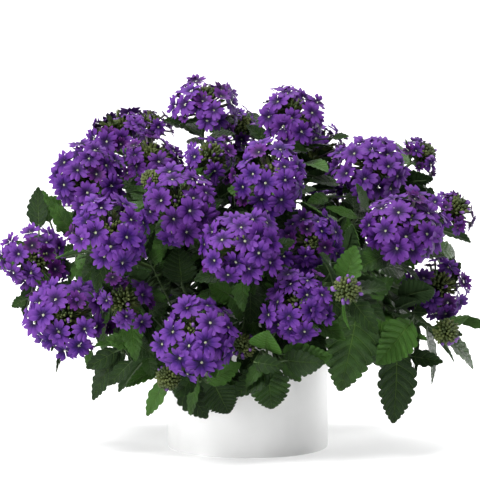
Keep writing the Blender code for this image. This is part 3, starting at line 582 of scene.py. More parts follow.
def blade_rows(leaf: Leaf) -> list[tuple[Vector, Vector]]:
    """The left and right margin of a leaf row by row, with its teeth, from its joint to its tip."""
    step = 1.0 / (leaf.teeth + 0.55)
    places = [(0.0, 0.0)]
    for k in range(leaf.teeth):
        places += [((k + 0.78) * step, 1.0), ((k + 1.06) * step, 0.78)]
    places[-1] = (1.0, 0.0)
    stalk = (leaf.root - leaf.joint).normalized()
    side = (leaf.middle - leaf.root).normalized().cross(leaf.normal)
    side = (side - stalk * side.dot(stalk)).normalized()
    rows = [(leaf.joint - side * PETIOLE_HALF_WIDTH, leaf.joint + side * PETIOLE_HALF_WIDTH)]
    for t, share in places:
        centre, way = leaf.midrib(t)
        side = way.cross(leaf.normal).normalized()
        half = leaf.width / 2 * math.sin(math.pi * t**0.72) ** 0.8 * share
        half = 0.0 if t == 1.0 else max(PETIOLE_HALF_WIDTH, half)
        rows.append((centre - side * half, centre + side * half))
    return rows


def blade_shell(rows: list[tuple[Vector, Vector]], thickness: float) -> Shell:
    """A closed strip of this thickness round some rows."""
    corners = []
    for i, (left, right) in enumerate(rows):
        before, after = rows[max(i - 1, 0)], rows[min(i + 1, len(rows) - 1)]
        way = (after[0] + after[1] - before[0] - before[1]).normalized()
        across = right - left if (right - left).length > 1e-5 else rows[i - 1][1] - rows[i - 1][0]
        lift = across.cross(way).normalized() * thickness / 2
        spread = across.normalized() * CLEARANCE
        corners += [left - spread + lift, right + spread + lift, right + spread - lift, left - spread - lift]
    return corners, box_tube_faces(len(rows))


class Thicket:
    """What is placed so far, each with its owner, to hold the next piece against."""

    def __init__(self) -> None:
        self.shells: list = []

    def add(self, shell: Shell, owner: str) -> None:
        """Adds a piece's shell.

        Args:
            shell: its points and faces.
            owner: what it belongs to.
        """
        corners, faces = shell
        self.shells.append((BVHTree.FromPolygons(corners, faces), box_of(corners), owner))

    def is_clear(self, shell: Shell, passes: Sequence[str] = ()) -> bool:
        """Whether a shell crosses nothing that is placed.

        Args:
            shell: the points and faces to test.
            passes: owners that it may cross.

        Returns:
            True if it is clear of all the others.
        """
        corners, faces = shell
        tree, (low, high) = BVHTree.FromPolygons(corners, faces), box_of(corners)
        for other, (other_low, other_high), owner in self.shells:
            if owner in passes:
                continue
            apart = any(low[k] > other_high[k] or other_low[k] > high[k] for k in range(3))
            if not apart and tree.overlap(other):
                return False
        return True


@dataclass(frozen=True)
class FillPlan:
    """One pass of smaller leaves up the stems: the shares of a stem's length where they start."""

    levels: tuple[float, ...]
    spread: float
    tries: int
    size: LeafSize


@dataclass
class Gardener:
    """Grows the plant: first what the frame has, by the same rule, and then the smaller leaves."""

    photograph: Photograph = Photograph()
    rule_size: LeafSize = LeafSize((0.050, 0.070), (0.54, 0.66), 0.009)
    rim_size: LeafSize = LeafSize((0.030, 0.046), (0.56, 0.68), 0.008, 0.3)
    rim_steps: int = 36
    rim_reach: tuple[float, float] = (0.082, 0.094)
    rim_height: tuple[float, float] = (0.140, 0.156)
    rim_run: tuple[float, float] = (0.25, 0.7)
    rim_drop: float = 0.8
    rim_stalk: float = 0.045
    fills: tuple[FillPlan, ...] = (
        FillPlan(
            (0.22, 0.34, 0.46, 0.58, 0.70), 0.08, 14, LeafSize((0.036, 0.050), (0.54, 0.66), 0.007, 0.5)
        ),
        FillPlan(
            (0.18, 0.28, 0.40, 0.52, 0.64, 0.76), 0.08, 12, LeafSize((0.024, 0.036), (0.52, 0.64), 0.006, 0.8)
        ),
        FillPlan((0.72, 0.80, 0.86), 0.06, 12, LeafSize((0.022, 0.034), (0.54, 0.66), 0.004, 0.6)),
        FillPlan((0.30, 0.50, 0.66, 0.80), 0.08, 10, LeafSize((0.015, 0.022), (0.50, 0.60), 0.004, 0.8)),
    )

    def __post_init__(self) -> None:
        self.dice = random.Random(SEED)
        self.thicket = Thicket()
        self.thicket.add(pot_shell(), "pot")

    def settle_heads(self) -> dict[str, Bloom]:
        """Every head where it shows, moved in depth where it would cross another."""
        blooms = {}
        for head in HEADS:
            for step in range(2 * TRIES):
                further = (step + 1) // 2 * DEPTH_STEP * (-1) ** step
                bloom = self.photograph.bloom_of(head, further)
                if head.kind is Kind.TIP or self.thicket.is_clear(dome_shell(bloom)):
                    break
            if head.kind is not Kind.TIP:
                self.thicket.add(dome_shell(bloom), "head " + head.key)
            blooms[head.key] = bloom
        return blooms

    def stem_route(self, start: Vector, way: Vector, bloom: Bloom, wander: float) -> tuple[Vector, ...]:
        """The four ends of a stem's curve from its start to the seat under its head."""
        seat = bloom.centre - bloom.axis * bloom.radius * HEAD_SEAT
        span = (seat - start).length
        first = start + way * span * STEM_PULL + shaken(self.dice, wander)
        last = seat - bloom.axis * span * HEAD_PULL + shaken(self.dice, wander)
        return start, first, last, seat

    @staticmethod
    def stem_line(
        branch: Branch, bloom: Bloom, ends: Sequence[Vector], steps: int, foot_radius: float,
        foot: Optional[Vector] = None,
    ) -> Stem:
        """A stem along a curve and on through the middle of its head, thinner to its top."""
        points = [curve_point(ends, i / steps) for i in range(steps + 1)]
        points = ([foot] if foot else []) + points + [bloom.centre + bloom.axis * bloom.radius * SPIKE_TOP]
        return Stem(branch.name, bloom.key, points, graded(foot_radius, STEM_TOP_RADIUS, len(points)))

    def is_free(self, stem: Stem, bloom: Bloom, passes: Sequence[str], first: int = 0) -> bool:
        """Whether a stem is clear of the thicket and of its own head's florets."""
        shell = tube_shell(stem.points[first:], stem.radii[first:])
        cup = BVHTree.FromPolygons(*cup_shell(bloom))
        in_bloom = bloom.kind not in (Kind.BUD, Kind.TIP)
        if in_bloom and BVHTree.FromPolygons(*shell).overlap(cup):
            return False
        return self.thicket.is_clear(shell, passes)

    def grow_leader(self, branch: Branch, bloom: Bloom) -> Stem:
        """The stem that stands in the mix, bent until it is clear of everything else."""
        out = branch.outward
        foot = out * branch.reach + UP * (MIX_TOP - STEM_ROOTED)
        start = foot + UP * (STEM_ROOTED + STEM_RISE)
        way = (out * branch.reach * STEM_SPLAY + UP).normalized()
        for attempt in range(3 * TRIES):
            ends = self.stem_route(start, way, bloom, STEM_WANDER * attempt)
            stem = self.stem_line(branch, bloom, ends, STEM_STEPS, STEM_FOOT_RADIUS, foot)
            if self.is_free(stem, bloom, ("head " + bloom.key,), 1):
                break
        return stem

    def grow_shoot(self, branch: Branch, bloom: Bloom, leader: Stem) -> Stem:
        """A side shoot from the leader to a head, from where it leaves at the most natural angle."""
        seat = bloom.centre - bloom.axis * bloom.radius * HEAD_SEAT
        passes = ("head " + bloom.key, branch.name + " stem")
        joints = []
        for a, b in zip(leader.points[1:-3], leader.points[2:-2]):
            for share in SHOOT_SHARES:
                joint, along = a.lerp(b, share), (b - a).normalized()
                cost = abs(along.angle(seat - joint) - SHOOT_ANGLE) + (seat - joint).length * SHOOT_COST
                joints.append((cost, joint, along))
        joints.sort(key=lambda row: row[0])
        for attempt in range(6 * TRIES):
            _, joint, along = joints[attempt % min(len(joints), SHOOT_CHOICE)]
            way = (along * SHOOT_ALONG + (seat - joint).normalized() * SHOOT_AHEAD).normalized()
            ends = self.stem_route(joint, way, bloom, STEM_WANDER * attempt)
            stem = self.stem_line(branch, bloom, ends, SHOOT_STEPS, SHOOT_FOOT_RADIUS)
            if self.is_free(stem, bloom, passes):
                break
        return stem

    def place_leaf(self, leaf: Leaf) -> bool:
        """Adds a leaf if it is clear of all but the stem it grows from, and says whether it was."""
        rows = blade_rows(leaf)
        if min(min(left.z, right.z) for left, right in rows) < GROUND_CLEARANCE:
            return False
        bare = min(0.5, STALK_SKIPPED / (leaf.root - leaf.joint).length)
        near = blade_rows(replace(leaf, joint=leaf.joint.lerp(leaf.root, bare)))[:2]
        blade = blade_shell(rows[1:], BLADE_THICKNESS + 2 * CLEARANCE)
        petiole = blade_shell(near, BLADE_THICKNESS + 2 * CLEARANCE)
        own = (leaf.branch + " stem",)
        if not self.thicket.is_clear(blade) or not self.thicket.is_clear(petiole, own):
            return False
        self.thicket.add(blade, leaf.branch + " leaf")
        self.thicket.add(petiole, leaf.branch + " petiole")
        return True

    def leaf_between(
        self, branch: str, line: tuple[Vector, Vector, Vector], width: float, teeth: int, wobble: float,
        towards: Vector = Vector(),
    ) -> Leaf:
        """A leaf arched a little between its root and its tip, its upper face out, up and towards a way.

        Args:
            branch: the branch that it grows on.
            line: its joint, root and tip.
            width: its width.
            teeth: the teeth of the shell that keeps its place.
            wobble: how far its face may turn from the light.
            towards: where else its face turns, by its length.

        Returns:
            The leaf.
        """
        joint, root, tip = line
        way = (tip - root).normalized()
        out = (tip - PLANT_HEART).normalized()
        wanted = out + UP * SKY_SHARE + towards + shaken(self.dice, wobble)
        normal = (wanted - way * wanted.dot(way)).normalized()
        middle = (root + tip) / 2 + normal * (tip - root).length * BLADE_ARCH
        return Leaf(branch, joint, root, middle, tip, normal, width, teeth)

    @staticmethod
    def best_joint(stems: list[Stem], branch: str, root: Vector, tip: Vector) -> Vector:
        """The point of a branch's stems from which a short stalk runs on into the blade."""
        best, least = None, 1e9
        for stem in stems:
            if stem.branch != branch:
                continue
            for a, b in zip(stem.points[1:-2], stem.points[2:-1]):
                for share in STALK_SHARES:
                    spot = a.lerp(b, share)
                    bend = (root - spot).angle(tip - root)
                    cost = (root - spot).length * (1.0 + bend * bend)
                    if cost < least:
                        best, least = spot, cost
        return best

    def grow_seen_leaves(self, stems: list[Stem], rows: Sequence[SeenLeaf]) -> list[Leaf]:
        """Leaves of the photograph, each moved a little where it would cross something."""
        leaves = []
        for row in rows:
            root = self.photograph.seen(row.root_px, row.root_py, row.root_depth)
            tip = self.photograph.seen(row.tip_px, row.tip_py, row.tip_depth)
            teeth = 3 if row.width > WIDE_BLADE else 2
            for attempt in range(3 * TRIES):
                reach = LEAF_WANDER * attempt
                moved_root, moved_tip = root + shaken(self.dice, reach), tip + shaken(self.dice, reach)
                joint = self.best_joint(stems, row.branch, moved_root, moved_tip)
                line = (joint, moved_root, moved_tip)
                leaf = self.leaf_between(row.branch, line, row.width, teeth, LEAF_WOBBLE, TO_VIEWER)
                if self.place_leaf(leaf):
                    leaves.append(leaf)
                    break
        return leaves

    def rule_leaf(self, stem: Stem, low: float, high: float, turn: float, size: LeafSize) -> Leaf:
        """A leaf between two shares of a stem's length, turned this far about the stem."""
        place = self.dice.uniform(low, high) * (len(stem.points) - 1)
        index = min(int(place), len(stem.points) - 2)
        a, b = stem.points[index], stem.points[index + 1]
        joint = a.lerp(b, place - index)
        along = (b - a).normalized()
        length = self.dice.uniform(*size.length)
        lean = TOP_LEAN if low > TOP_LEVEL else SIDE_LEAN
        way = (sideways(along, turn) + along * lean + shaken(self.dice, WAY_WOBBLE)).normalized()
        root = joint + way * size.stalk
        tip = root + way * length - UP * (length * self.dice.uniform(*TIP_DROP))
        width = length * self.dice.uniform(*size.width)
        return self.leaf_between(stem.branch, (joint, root, tip), width, 2, RULE_WOBBLE + size.loose)

    def grow_pair(
        self, stem: Stem, span: tuple[float, float], turn: float, tries: int, size: LeafSize
    ) -> list[Leaf]:
        """Up to two opposite leaves at about one height, each where it finds room."""
        pair = []
        for side in (0.0, math.pi):
            for _ in range(tries):
                wobble = self.dice.uniform(-PAIR_WOBBLE, PAIR_WOBBLE)
                leaf = self.rule_leaf(stem, *span, turn + side + wobble, size)
                rooted = leaf.joint.xy.length < POT_RADIUS and leaf.joint.z < MIX_TOP + BARE_FOOT
                if not rooted and self.place_leaf(leaf):
                    pair.append(leaf)
                    break
        return pair

    def grow_rule_leaves(self, stems: list[Stem], leaves: list[Leaf]) -> list[Leaf]:
        """Pairs up the stems, each pair square to the one below, with the barest branch first."""
        grown: list[Leaf] = []
        for level in range(len(FLOWER_STEM_LEVELS)):
            count = {branch.name: 0 for branch in BRANCHES}
            for leaf in leaves + grown:
                count[leaf.branch] += 1
            for stem in sorted(stems, key=lambda stem: (count[stem.branch], stem.branch, stem.head)):
                levels = LEAFY_SHOOT_LEVELS if stem.head.startswith("tip") else FLOWER_STEM_LEVELS
                turn = math.pi / 2 * (level % 2) + self.dice.uniform(-LEVEL_WOBBLE, LEVEL_WOBBLE)
                if len(grown) < RULE_LEAVES:
                    grown += self.grow_pair(stem, levels[level], turn, RULE_TRIES, self.rule_size)
        return grown

    def grow_frame(self) -> Plant:
        """Every head, stem and leaf that the frame has, where it has them."""
        blooms = self.settle_heads()
        plant = Plant(blooms, [])
        for branch in BRANCHES:
            leader = self.grow_leader(branch, blooms[branch.heads[0]])
            grown = [leader] + [self.grow_shoot(branch, blooms[key], leader) for key in branch.heads[1:]]
            for stem in grown:
                self.thicket.add(tube_shell(stem.points, stem.radii), branch.name + " stem")
            plant.stems += grown
        plant.leaves += self.grow_seen_leaves(plant.stems, LARGE_SEEN_LEAVES)
        plant.leaves += self.grow_rule_leaves(plant.stems, plant.leaves)
        return plant

    def grow_rim_leaves(self, stems: list[Stem]) -> list[Leaf]:
        """Leaves that bend out over the pot's rim and hang down in front of it, all round.

        Args:
            stems: every stem of the plant.

        Returns:
            The leaves that found room.
        """
        grown = []
        for step in range(self.rim_steps):
            out = level_way(2 * math.pi * (step + self.dice.uniform(-0.3, 0.3)) / self.rim_steps)
            for _ in range(RULE_TRIES):
                length = self.dice.uniform(*self.rim_size.length)
                root = out * self.dice.uniform(*self.rim_reach) + UP * self.dice.uniform(*self.rim_height)
                tip = root + out * length * self.dice.uniform(*self.rim_run) - UP * length * self.rim_drop
                near = sorted(BRANCHES, key=lambda branch: -out.dot(branch.outward))
                name = near[self.dice.randrange(2)].name
                joint = self.best_joint(stems, name, root, tip)
                width = length * self.dice.uniform(*self.rim_size.width)
                leaf = self.leaf_between(name, (joint, root, tip), width, 2, self.rim_size.loose)
                if (root - joint).length < self.rim_stalk and self.place_leaf(leaf):
                    grown.append(leaf)
                    break
        return grown

    def grow_fillers(self, plant: Plant) -> None:
        """The smaller leaves of the photograph, those over the rim, and those up every stem."""
        plant.leaves += self.grow_seen_leaves(plant.stems, SMALL_SEEN_LEAVES)
        plant.leaves += self.grow_rim_leaves(plant.stems)
        for plan in self.fills:
            before = len(plant.leaves)
            for level in plan.levels:
                for stem in plant.stems:
                    turn = self.dice.uniform(0.0, math.pi)
                    span = (level, level + plan.spread)
                    plant.leaves += self.grow_pair(stem, span, turn, plan.tries, plan.size)
            longest = plan.size.length[1] * 1000
            LOG.info("fill with leaves of %.0f mm: %d", longest, len(plant.leaves) - before)


# The modelling bench


class Bench:
    """A new primitive, open in edit mode, with calls that pick its elements by place or normal."""

    def __init__(self, name: str, add: Callable, **sizes: object) -> None:
        bpy.ops.object.select_all(action="DESELECT")
        add(**sizes)
        self.piece: Object = bpy.context.object
        self.piece.name = name
        self.piece.data.name = name
        bpy.ops.object.mode_set(mode="EDIT")

    def pick(self, kind: str, test: Callable) -> None:
        """Selects only the vertices, edges or faces for which a test is true.

        Args:
            kind: VERT, EDGE or FACE.
            test: takes a bmesh element and says whether it is picked.
        """
        bpy.ops.mesh.select_mode(type=kind)
        bpy.ops.mesh.select_all(action="DESELECT")
        bm = bmesh.from_edit_mesh(self.piece.data)
        found = {"VERT": bm.verts, "EDGE": bm.edges, "FACE": bm.faces}[kind]
        for element in [element for element in found if test(element)]:
            element.select_set(True)
        bm.select_flush_mode()
        bmesh.update_edit_mesh(self.piece.data)

    def move(self, step: tuple[float, float, float], test: Optional[Callable] = None) -> None:
        """Moves the vertices that a test picks, or without one what is picked already."""
        if test:
            self.pick("VERT", test)
        bpy.ops.transform.translate(value=step)

    def resize(self, shares: tuple[float, ...], middle: tuple[float, ...], test: Callable) -> None:
        """Resizes the vertices that a test picks about a point."""
        self.pick("VERT", test)
        bpy.ops.transform.resize(value=shares, center_override=middle)

    def close(self) -> Object:
        """Leaves edit mode and moves the object's place into its mesh."""
        bpy.ops.object.mode_set(mode="OBJECT")
        self.piece.data.transform(self.piece.matrix_world)
        self.piece.matrix_world = Matrix.Identity(4)
        return self.piece


def at_level(axis: int, level: float, slack: float) -> Callable:
    """A test for the vertices that are about at a level along an axis."""
    return lambda v: abs(v.co[axis] - level) < slack


def set_active(piece: Object) -> None:
    """Selects one object only and makes it the active one."""
    bpy.ops.object.select_all(action="DESELECT")
    piece.select_set(True)
    bpy.context.view_layer.objects.active = piece


def apply_modifier(piece: Object, kind: str, **settings: object) -> None:
    """Adds a modifier to an object with some settings and applies it."""
    set_active(piece)
    modifier = piece.modifiers.new(kind.title(), kind)
    for name, value in settings.items():
        setattr(modifier, name, value)
    bpy.ops.object.modifier_apply(modifier=modifier.name)


def points_of(mesh: Mesh) -> np.ndarray:
    """A mesh's vertices as an array of three columns."""
    points = np.empty(len(mesh.vertices) * 3, np.float32)
    mesh.vertices.foreach_get("co", points)
    return points.reshape(-1, 3).astype(float)


def copy_to(master: Object, points: np.ndarray, tone: float, fresh: float = 0.0) -> Object:
    """A copy of a master shape with a mesh of its own, moved onto new points.

    Args:
        master: the shape that is copied.
        points: the copy's vertices.
        tone: its place in the range of colours, 0 to 1.
        fresh: how newly opened it is, 0 to 1.

    Returns:
        The new object.
    """
    mesh = master.data.copy()
    mesh.vertices.foreach_set("co", points.astype(np.float32).ravel())
    for name, value in (("tone", tone), ("fresh", fresh)):
        attribute = mesh.attributes.get(name) or mesh.attributes.new(name, "FLOAT", "POINT")
        attribute.data.foreach_set("value", np.full(len(mesh.vertices), value, np.float32))
    copy = bpy.data.objects.new(master.name, mesh)
    bpy.context.scene.collection.objects.link(copy)
    return copy


def placed(master: Object, matrix: Matrix, tone: float, fresh: float = 0.0) -> Object:
    """A copy of a master shape, moved by a matrix."""
    moved = points_of(master.data) @ np.array(matrix.to_3x3()).T + np.array(matrix.translation)
    return copy_to(master, moved, tone, fresh)


def planted(master: Object, foot: Vector, way: Vector, wide: float, tall: float, tone: float) -> Object:
    """A copy of an upright shape of unit size that stands at a foot and points along a way."""
    return placed(master, frame_at(foot, way) @ Matrix.Diagonal((wide, wide, tall, 1.0)), tone)


def shade(piece: Object, degrees: Optional[float] = None) -> Object:
    """Shades an object smooth, apart from edges that are sharper than an angle if one is given."""
    set_active(piece)
    if degrees is None:
        bpy.ops.object.shade_smooth()
    else:
        bpy.ops.object.shade_smooth_by_angle(angle=math.radians(degrees))
    return piece


def join(name: str, copies: list[Object]) -> Object:
    """Joins objects into the first of them and gives it a name."""
    set_active(copies[0])
    for copy in copies[1:]:
        copy.select_set(True)
    if len(copies) > 1:
        bpy.ops.object.join()
    joined = bpy.context.view_layer.objects.active
    joined.name = name
    joined.data.name = name
    return joined


def discard(*pieces: Object) -> None:
    """Removes objects that are no longer needed."""
    for piece in pieces:
        bpy.data.objects.remove(piece)


# Finishes


class Wires:
    """The nodes of one material or node group, added and joined by short calls."""

    def __init__(self, tree: NodeTree) -> None:
        self.tree = tree

    def node(self, kind: str, **settings: object) -> Node:
        """Adds a node with some settings."""
        made = self.tree.nodes.new("ShaderNode" + kind)
        for name, value in settings.items():
            setattr(made, name, value)
        return made

    def feed(self, node: Node, **given: object) -> Node:
        """Sets a node's inputs, named in plain words, to values or to other nodes' outputs.

        Args:
            node: the node that is fed.
            given: a value or an output for each input, with underscores for spaces.

        Returns:
            The same node.
        """
        for name, value in given.items():
            socket = node.inputs[name.replace("_", " ").title().replace("Ior", "IOR")]
            self.join(socket, value)
        return node

    def join(self, socket: NodeSocket, value: object) -> None:
        """Sets an input to a value, or links it to another node's output."""
        if isinstance(value, NodeSocket):
            self.tree.links.new(value, socket)
        else:
            socket.default_value = value

    def math(self, operation: str, *values: object) -> NodeSocket:
        """The result of a Math node."""
        made = self.node("Math", operation=operation)
        for socket, value in zip(made.inputs, values):
            self.join(socket, value)
        return made.outputs[0]

    def times(self, first: object, second: object) -> NodeSocket:
        """The product of two numbers."""
        return self.math("MULTIPLY", first, second)

    def line(self, value: object, slope: object, start: object) -> NodeSocket:
        """A number times a slope, plus a start."""
        return self.math("MULTIPLY_ADD", value, slope, start)

    def off(self, value: object, centre: float) -> NodeSocket:
        """How far a number is from a centre."""
        return self.math("ABSOLUTE", self.math("SUBTRACT", value, centre))

    def fade(self, value: object, low: float, high: float) -> NodeSocket:
        """A smooth mask that goes from 0 at one value to 1 at another."""
        made = self.node("MapRange", interpolation_type="SMOOTHSTEP")
        return self.feed(made, value=value, from_min=low, from_max=high).outputs["Result"]

    def near(self, value: object, low: float, high: float) -> NodeSocket:
        """A smooth mask that goes from 1 at one value to 0 at another."""
        return self.math("SUBTRACT", 1.0, self.fade(value, low, high))

    def blend(self, share: object, first: object, second: object) -> NodeSocket:
        """A mix of two colours."""
        made = self.node("Mix", data_type="RGBA")
        for index, given in ((0, share), (6, first), (7, second)):
            self.join(made.inputs[index], given)
        return made.outputs[2]

    def noise(self, where: object, scale: object, detail: float) -> NodeSocket:
        """A soft noise between 0 and 1."""
        return self.feed(self.node("TexNoise"), vector=where, scale=scale, detail=detail).outputs["Fac"]

    def split(self, vector: NodeSocket) -> tuple[NodeSocket, NodeSocket]:
        """The first two numbers of a vector."""
        return tuple(self.feed(self.node("SeparateXYZ"), vector=vector).outputs)[:2]

    def attribute(self, name: str) -> NodeSocket:
        """A number that each copy of a shape holds."""
        return self.node("Attribute", attribute_name=name).outputs["Fac"]

    def group(self, tree: NodeTree, **given: object) -> Node:
        """Places a node group and feeds its inputs."""
        return self.feed(self.node("Group", node_tree=tree), **given)


def new_group(name: str, inputs: dict[str, str], outputs: dict[str, str]) -> tuple[Wires, Sequence, Node]:
    """An empty shader node group with named sockets.

    Args:
        name: the group's name.
        inputs: each input's name and its socket kind, such as Float.
        outputs: the same for the outputs.

    Returns:
        The group's wires, what its inputs give, and its output node.
    """
    tree = bpy.data.node_groups.new(name, "ShaderNodeTree")
    for ways, sockets in (("INPUT", inputs), ("OUTPUT", outputs)):
        for label, kind in sockets.items():
            tree.interface.new_socket(name=label, in_out=ways, socket_type="NodeSocket" + kind)
    given = tree.nodes.new("NodeGroupInput").outputs
    return Wires(tree), tuple(given)[:len(inputs)], tree.nodes.new("NodeGroupOutput")


def grain_group() -> NodeTree:
    """Fine uneven grain: a height for bump and a soft mottling, from Object coordinates."""
    wires, (place, scale), out = new_group(
        "fine_grain", {"Place": "Vector", "Scale": "Float"}, {"Height": "Float", "Mottle": "Float"}
    )
    broad = wires.noise(place, wires.times(scale, 0.12), 3.0)
    wires.feed(out, height=wires.noise(place, scale, 4.0), mottle=wires.fade(broad, 0.32, 0.68))
    return wires.tree


def vein_group() -> NodeTree:
    """A leaf's midrib and side veins, which run out to its teeth, from the blade's own UV map."""
    wires, (blade,), out = new_group("leaf_veins", {"Blade": "Vector"}, {"Vein": "Float", "Relief": "Float"})
    x, along = wires.split(blade)
    across = wires.off(x, 0.5)
    bowed = wires.line(wires.times(across, across), -0.10, along)
    beside = wires.off(wires.math("FRACT", wires.times(bowed, TEETH_PER_UV)), 0.70)
    side_vein = wires.near(wires.math("DIVIDE", beside, wires.line(across, -0.075, 0.060)), 0.45, 1.3)
    main = wires.math("MAXIMUM", side_vein, wires.near(across, 0.006, 0.027))
    stretched = wires.feed(wires.node("Mapping"), vector=blade, scale=(16.0, 60.0, 1.0)).outputs["Vector"]
    net = wires.feed(wires.node("TexVoronoi", feature="DISTANCE_TO_EDGE"), vector=stretched, scale=1.0)
    fine = wires.near(net.outputs["Distance"], 0.02, 0.12)
    relief = wires.line(fine, -0.35, wires.line(main, -1.0, 1.0))
    wires.feed(out, vein=wires.math("MAXIMUM", main, wires.times(fine, 0.28)), relief=relief)
    return wires.tree


def petal_group() -> NodeTree:
    """A petal's colours from its eye to its lobes, with painted shade along its folded midline, from the
    petal's own UV map.
    """
    inputs = {"Petal": "Vector", "Tone": "Float", "Fresh": "Float"}
    inputs |= {name: "Color" for name in ("Deep", "Pale", "Rose", "Throat")}
    wires, given, out = new_group("petal_colours", inputs, {"Colour": "Color", "Relief": "Float"})
    petal, tone, fresh, deep, pale, rose, throat = given
    x, along = wires.split(petal)
    streaks = wires.feed(
        wires.node("CombineXYZ"), x=wires.times(x, 9.0), y=wires.times(along, 0.9), z=wires.times(tone, 40.0)
    )
    streak = wires.noise(streaks.outputs[0], 1.6, 1.0)
    lobes = wires.times(wires.fade(along, 0.25, 1.0), 0.86)
    paleness = wires.math("ADD", lobes, wires.line(tone, 0.55, -0.20))
    streaked = wires.math("ADD", paleness, wires.line(streak, 0.5, -0.2))
    midline = wires.near(wires.off(x, 0.5), 0.01, 0.11)
    # Painted shade: the petal is darkened along its folded midline, most near the eye, and the same mask
    # sinks a groove there in the bump
    crease_shade_and_groove = wires.times(midline, wires.math("SUBTRACT", 1.05, along))
    body = wires.math("SUBTRACT", streaked, wires.times(crease_shade_and_groove, 0.55))
    violet = wires.blend(wires.feed(wires.node("Clamp"), value=body).outputs[0], deep, pale)
    rosy = wires.blend(wires.times(fresh, 0.75), violet, rose)
    near_eye = wires.near(wires.math("DIVIDE", along, wires.line(fresh, 0.74, 0.42)), 0.18, 1.15)
    dark = wires.times(near_eye, wires.line(fresh, 0.24, 0.72))
    relief = wires.math("SUBTRACT", streak, wires.times(crease_shade_and_groove, 0.6))
    wires.feed(out, colour=wires.blend(dark, rosy, throat), relief=relief)
    return wires.tree


@dataclass(frozen=True)
class Groups:
    """The shader node groups that the finishes share."""

    grain: NodeTree
    veins: NodeTree
    petals: NodeTree


@dataclass(frozen=True)
class Finish:
    """One finish: its colours, roughness and bump, and the constants of its shader."""

    name: str
    colours: tuple[Colour, ...]
    roughness: float
    bump: float
    depth: float
    scale: float = 1.0
    sheen: float = 0.0
    coat: float = 0.0
    shine: float = 0.5

    def start(self) -> tuple[Material, Wires, Node, Node]:
        """The material with its shader's constants set, and its texture coordinates."""
        made = bpy.data.materials.new(self.name)
        made.use_nodes = True
        made.diffuse_color = self.colours[0]
        wires, shader = Wires(made.node_tree), made.node_tree.nodes["Principled BSDF"]
        wires.feed(
            shader, base_color=self.colours[0], roughness=self.roughness, sheen_weight=self.sheen,
            sheen_roughness=0.4, coat_weight=self.coat, specular_ior_level=self.shine,
        )
        return made, wires, shader, wires.node("TexCoord")

    def end(self, wires: Wires, shader: Node, height: NodeSocket, **given: object) -> None:
        """Feeds the shader's inputs and bumps it by a height."""
        bump = wires.feed(wires.node("Bump"), strength=self.bump, distance=self.depth, height=height)
        wires.feed(shader, normal=bump.outputs["Normal"], **given)


@dataclass(frozen=True)
class GrainFinish(Finish):
    """A finish of two colours mottled by the fine grain."""

    def build(self, groups: Groups) -> Material:
        """The material: glaze, stems, calyces or potting mix."""
        made, wires, shader, where = self.start()
        grain = wires.group(groups.grain, place=where.outputs["Object"], scale=self.scale).outputs
        rough = wires.line(grain["Mottle"], 0.1, self.roughness - 0.05)
        mottled = wires.blend(grain["Mottle"], *self.colours)
        self.end(wires, shader, grain["Height"], base_color=mottled, roughness=rough)
        return made


@dataclass(frozen=True)
class LeafFinish(Finish):
    """A leaf's finish: dark and bright green by the leaf's tone, with paler veins."""

    def build(self, groups: Groups) -> Material:
        """The material of one face of the blades."""
        made, wires, shader, where = self.start()
        veins = wires.group(groups.veins, blade=where.outputs["UV"]).outputs
        grain = wires.group(groups.grain, place=where.outputs["Object"], scale=self.scale).outputs
        dark, bright, vein = self.colours
        tone = wires.math("ADD", wires.attribute("tone"), wires.line(grain["Mottle"], 0.3, -0.15))
        green = wires.blend(wires.fade(tone, 0.0, 1.0), dark, bright)
        veined = wires.blend(wires.times(veins["Vein"], 0.38), green, vein)
        rough = wires.line(grain["Height"], 0.25, self.roughness - 0.12)
        height = wires.line(grain["Height"], 0.35, veins["Relief"])
        self.end(wires, shader, height, base_color=veined, roughness=rough)
        return made


@dataclass(frozen=True)
class PetalFinish(Finish):
    """A petal's finish: deep violet with paler lobes, a dark throat, and rose when newly open."""

    def build(self, groups: Groups) -> Material:
        """The material of one face of the petals."""
        made, wires, shader, where = self.start()
        colours = dict(zip(("deep", "pale", "rose", "throat"), self.colours))
        tone, fresh = wires.attribute("tone"), wires.attribute("fresh")
        petal = where.outputs["UV"]
        painted = wires.group(groups.petals, petal=petal, tone=tone, fresh=fresh, **colours).outputs
        self.end(wires, shader, painted["Relief"], base_color=painted["Colour"])
        return made


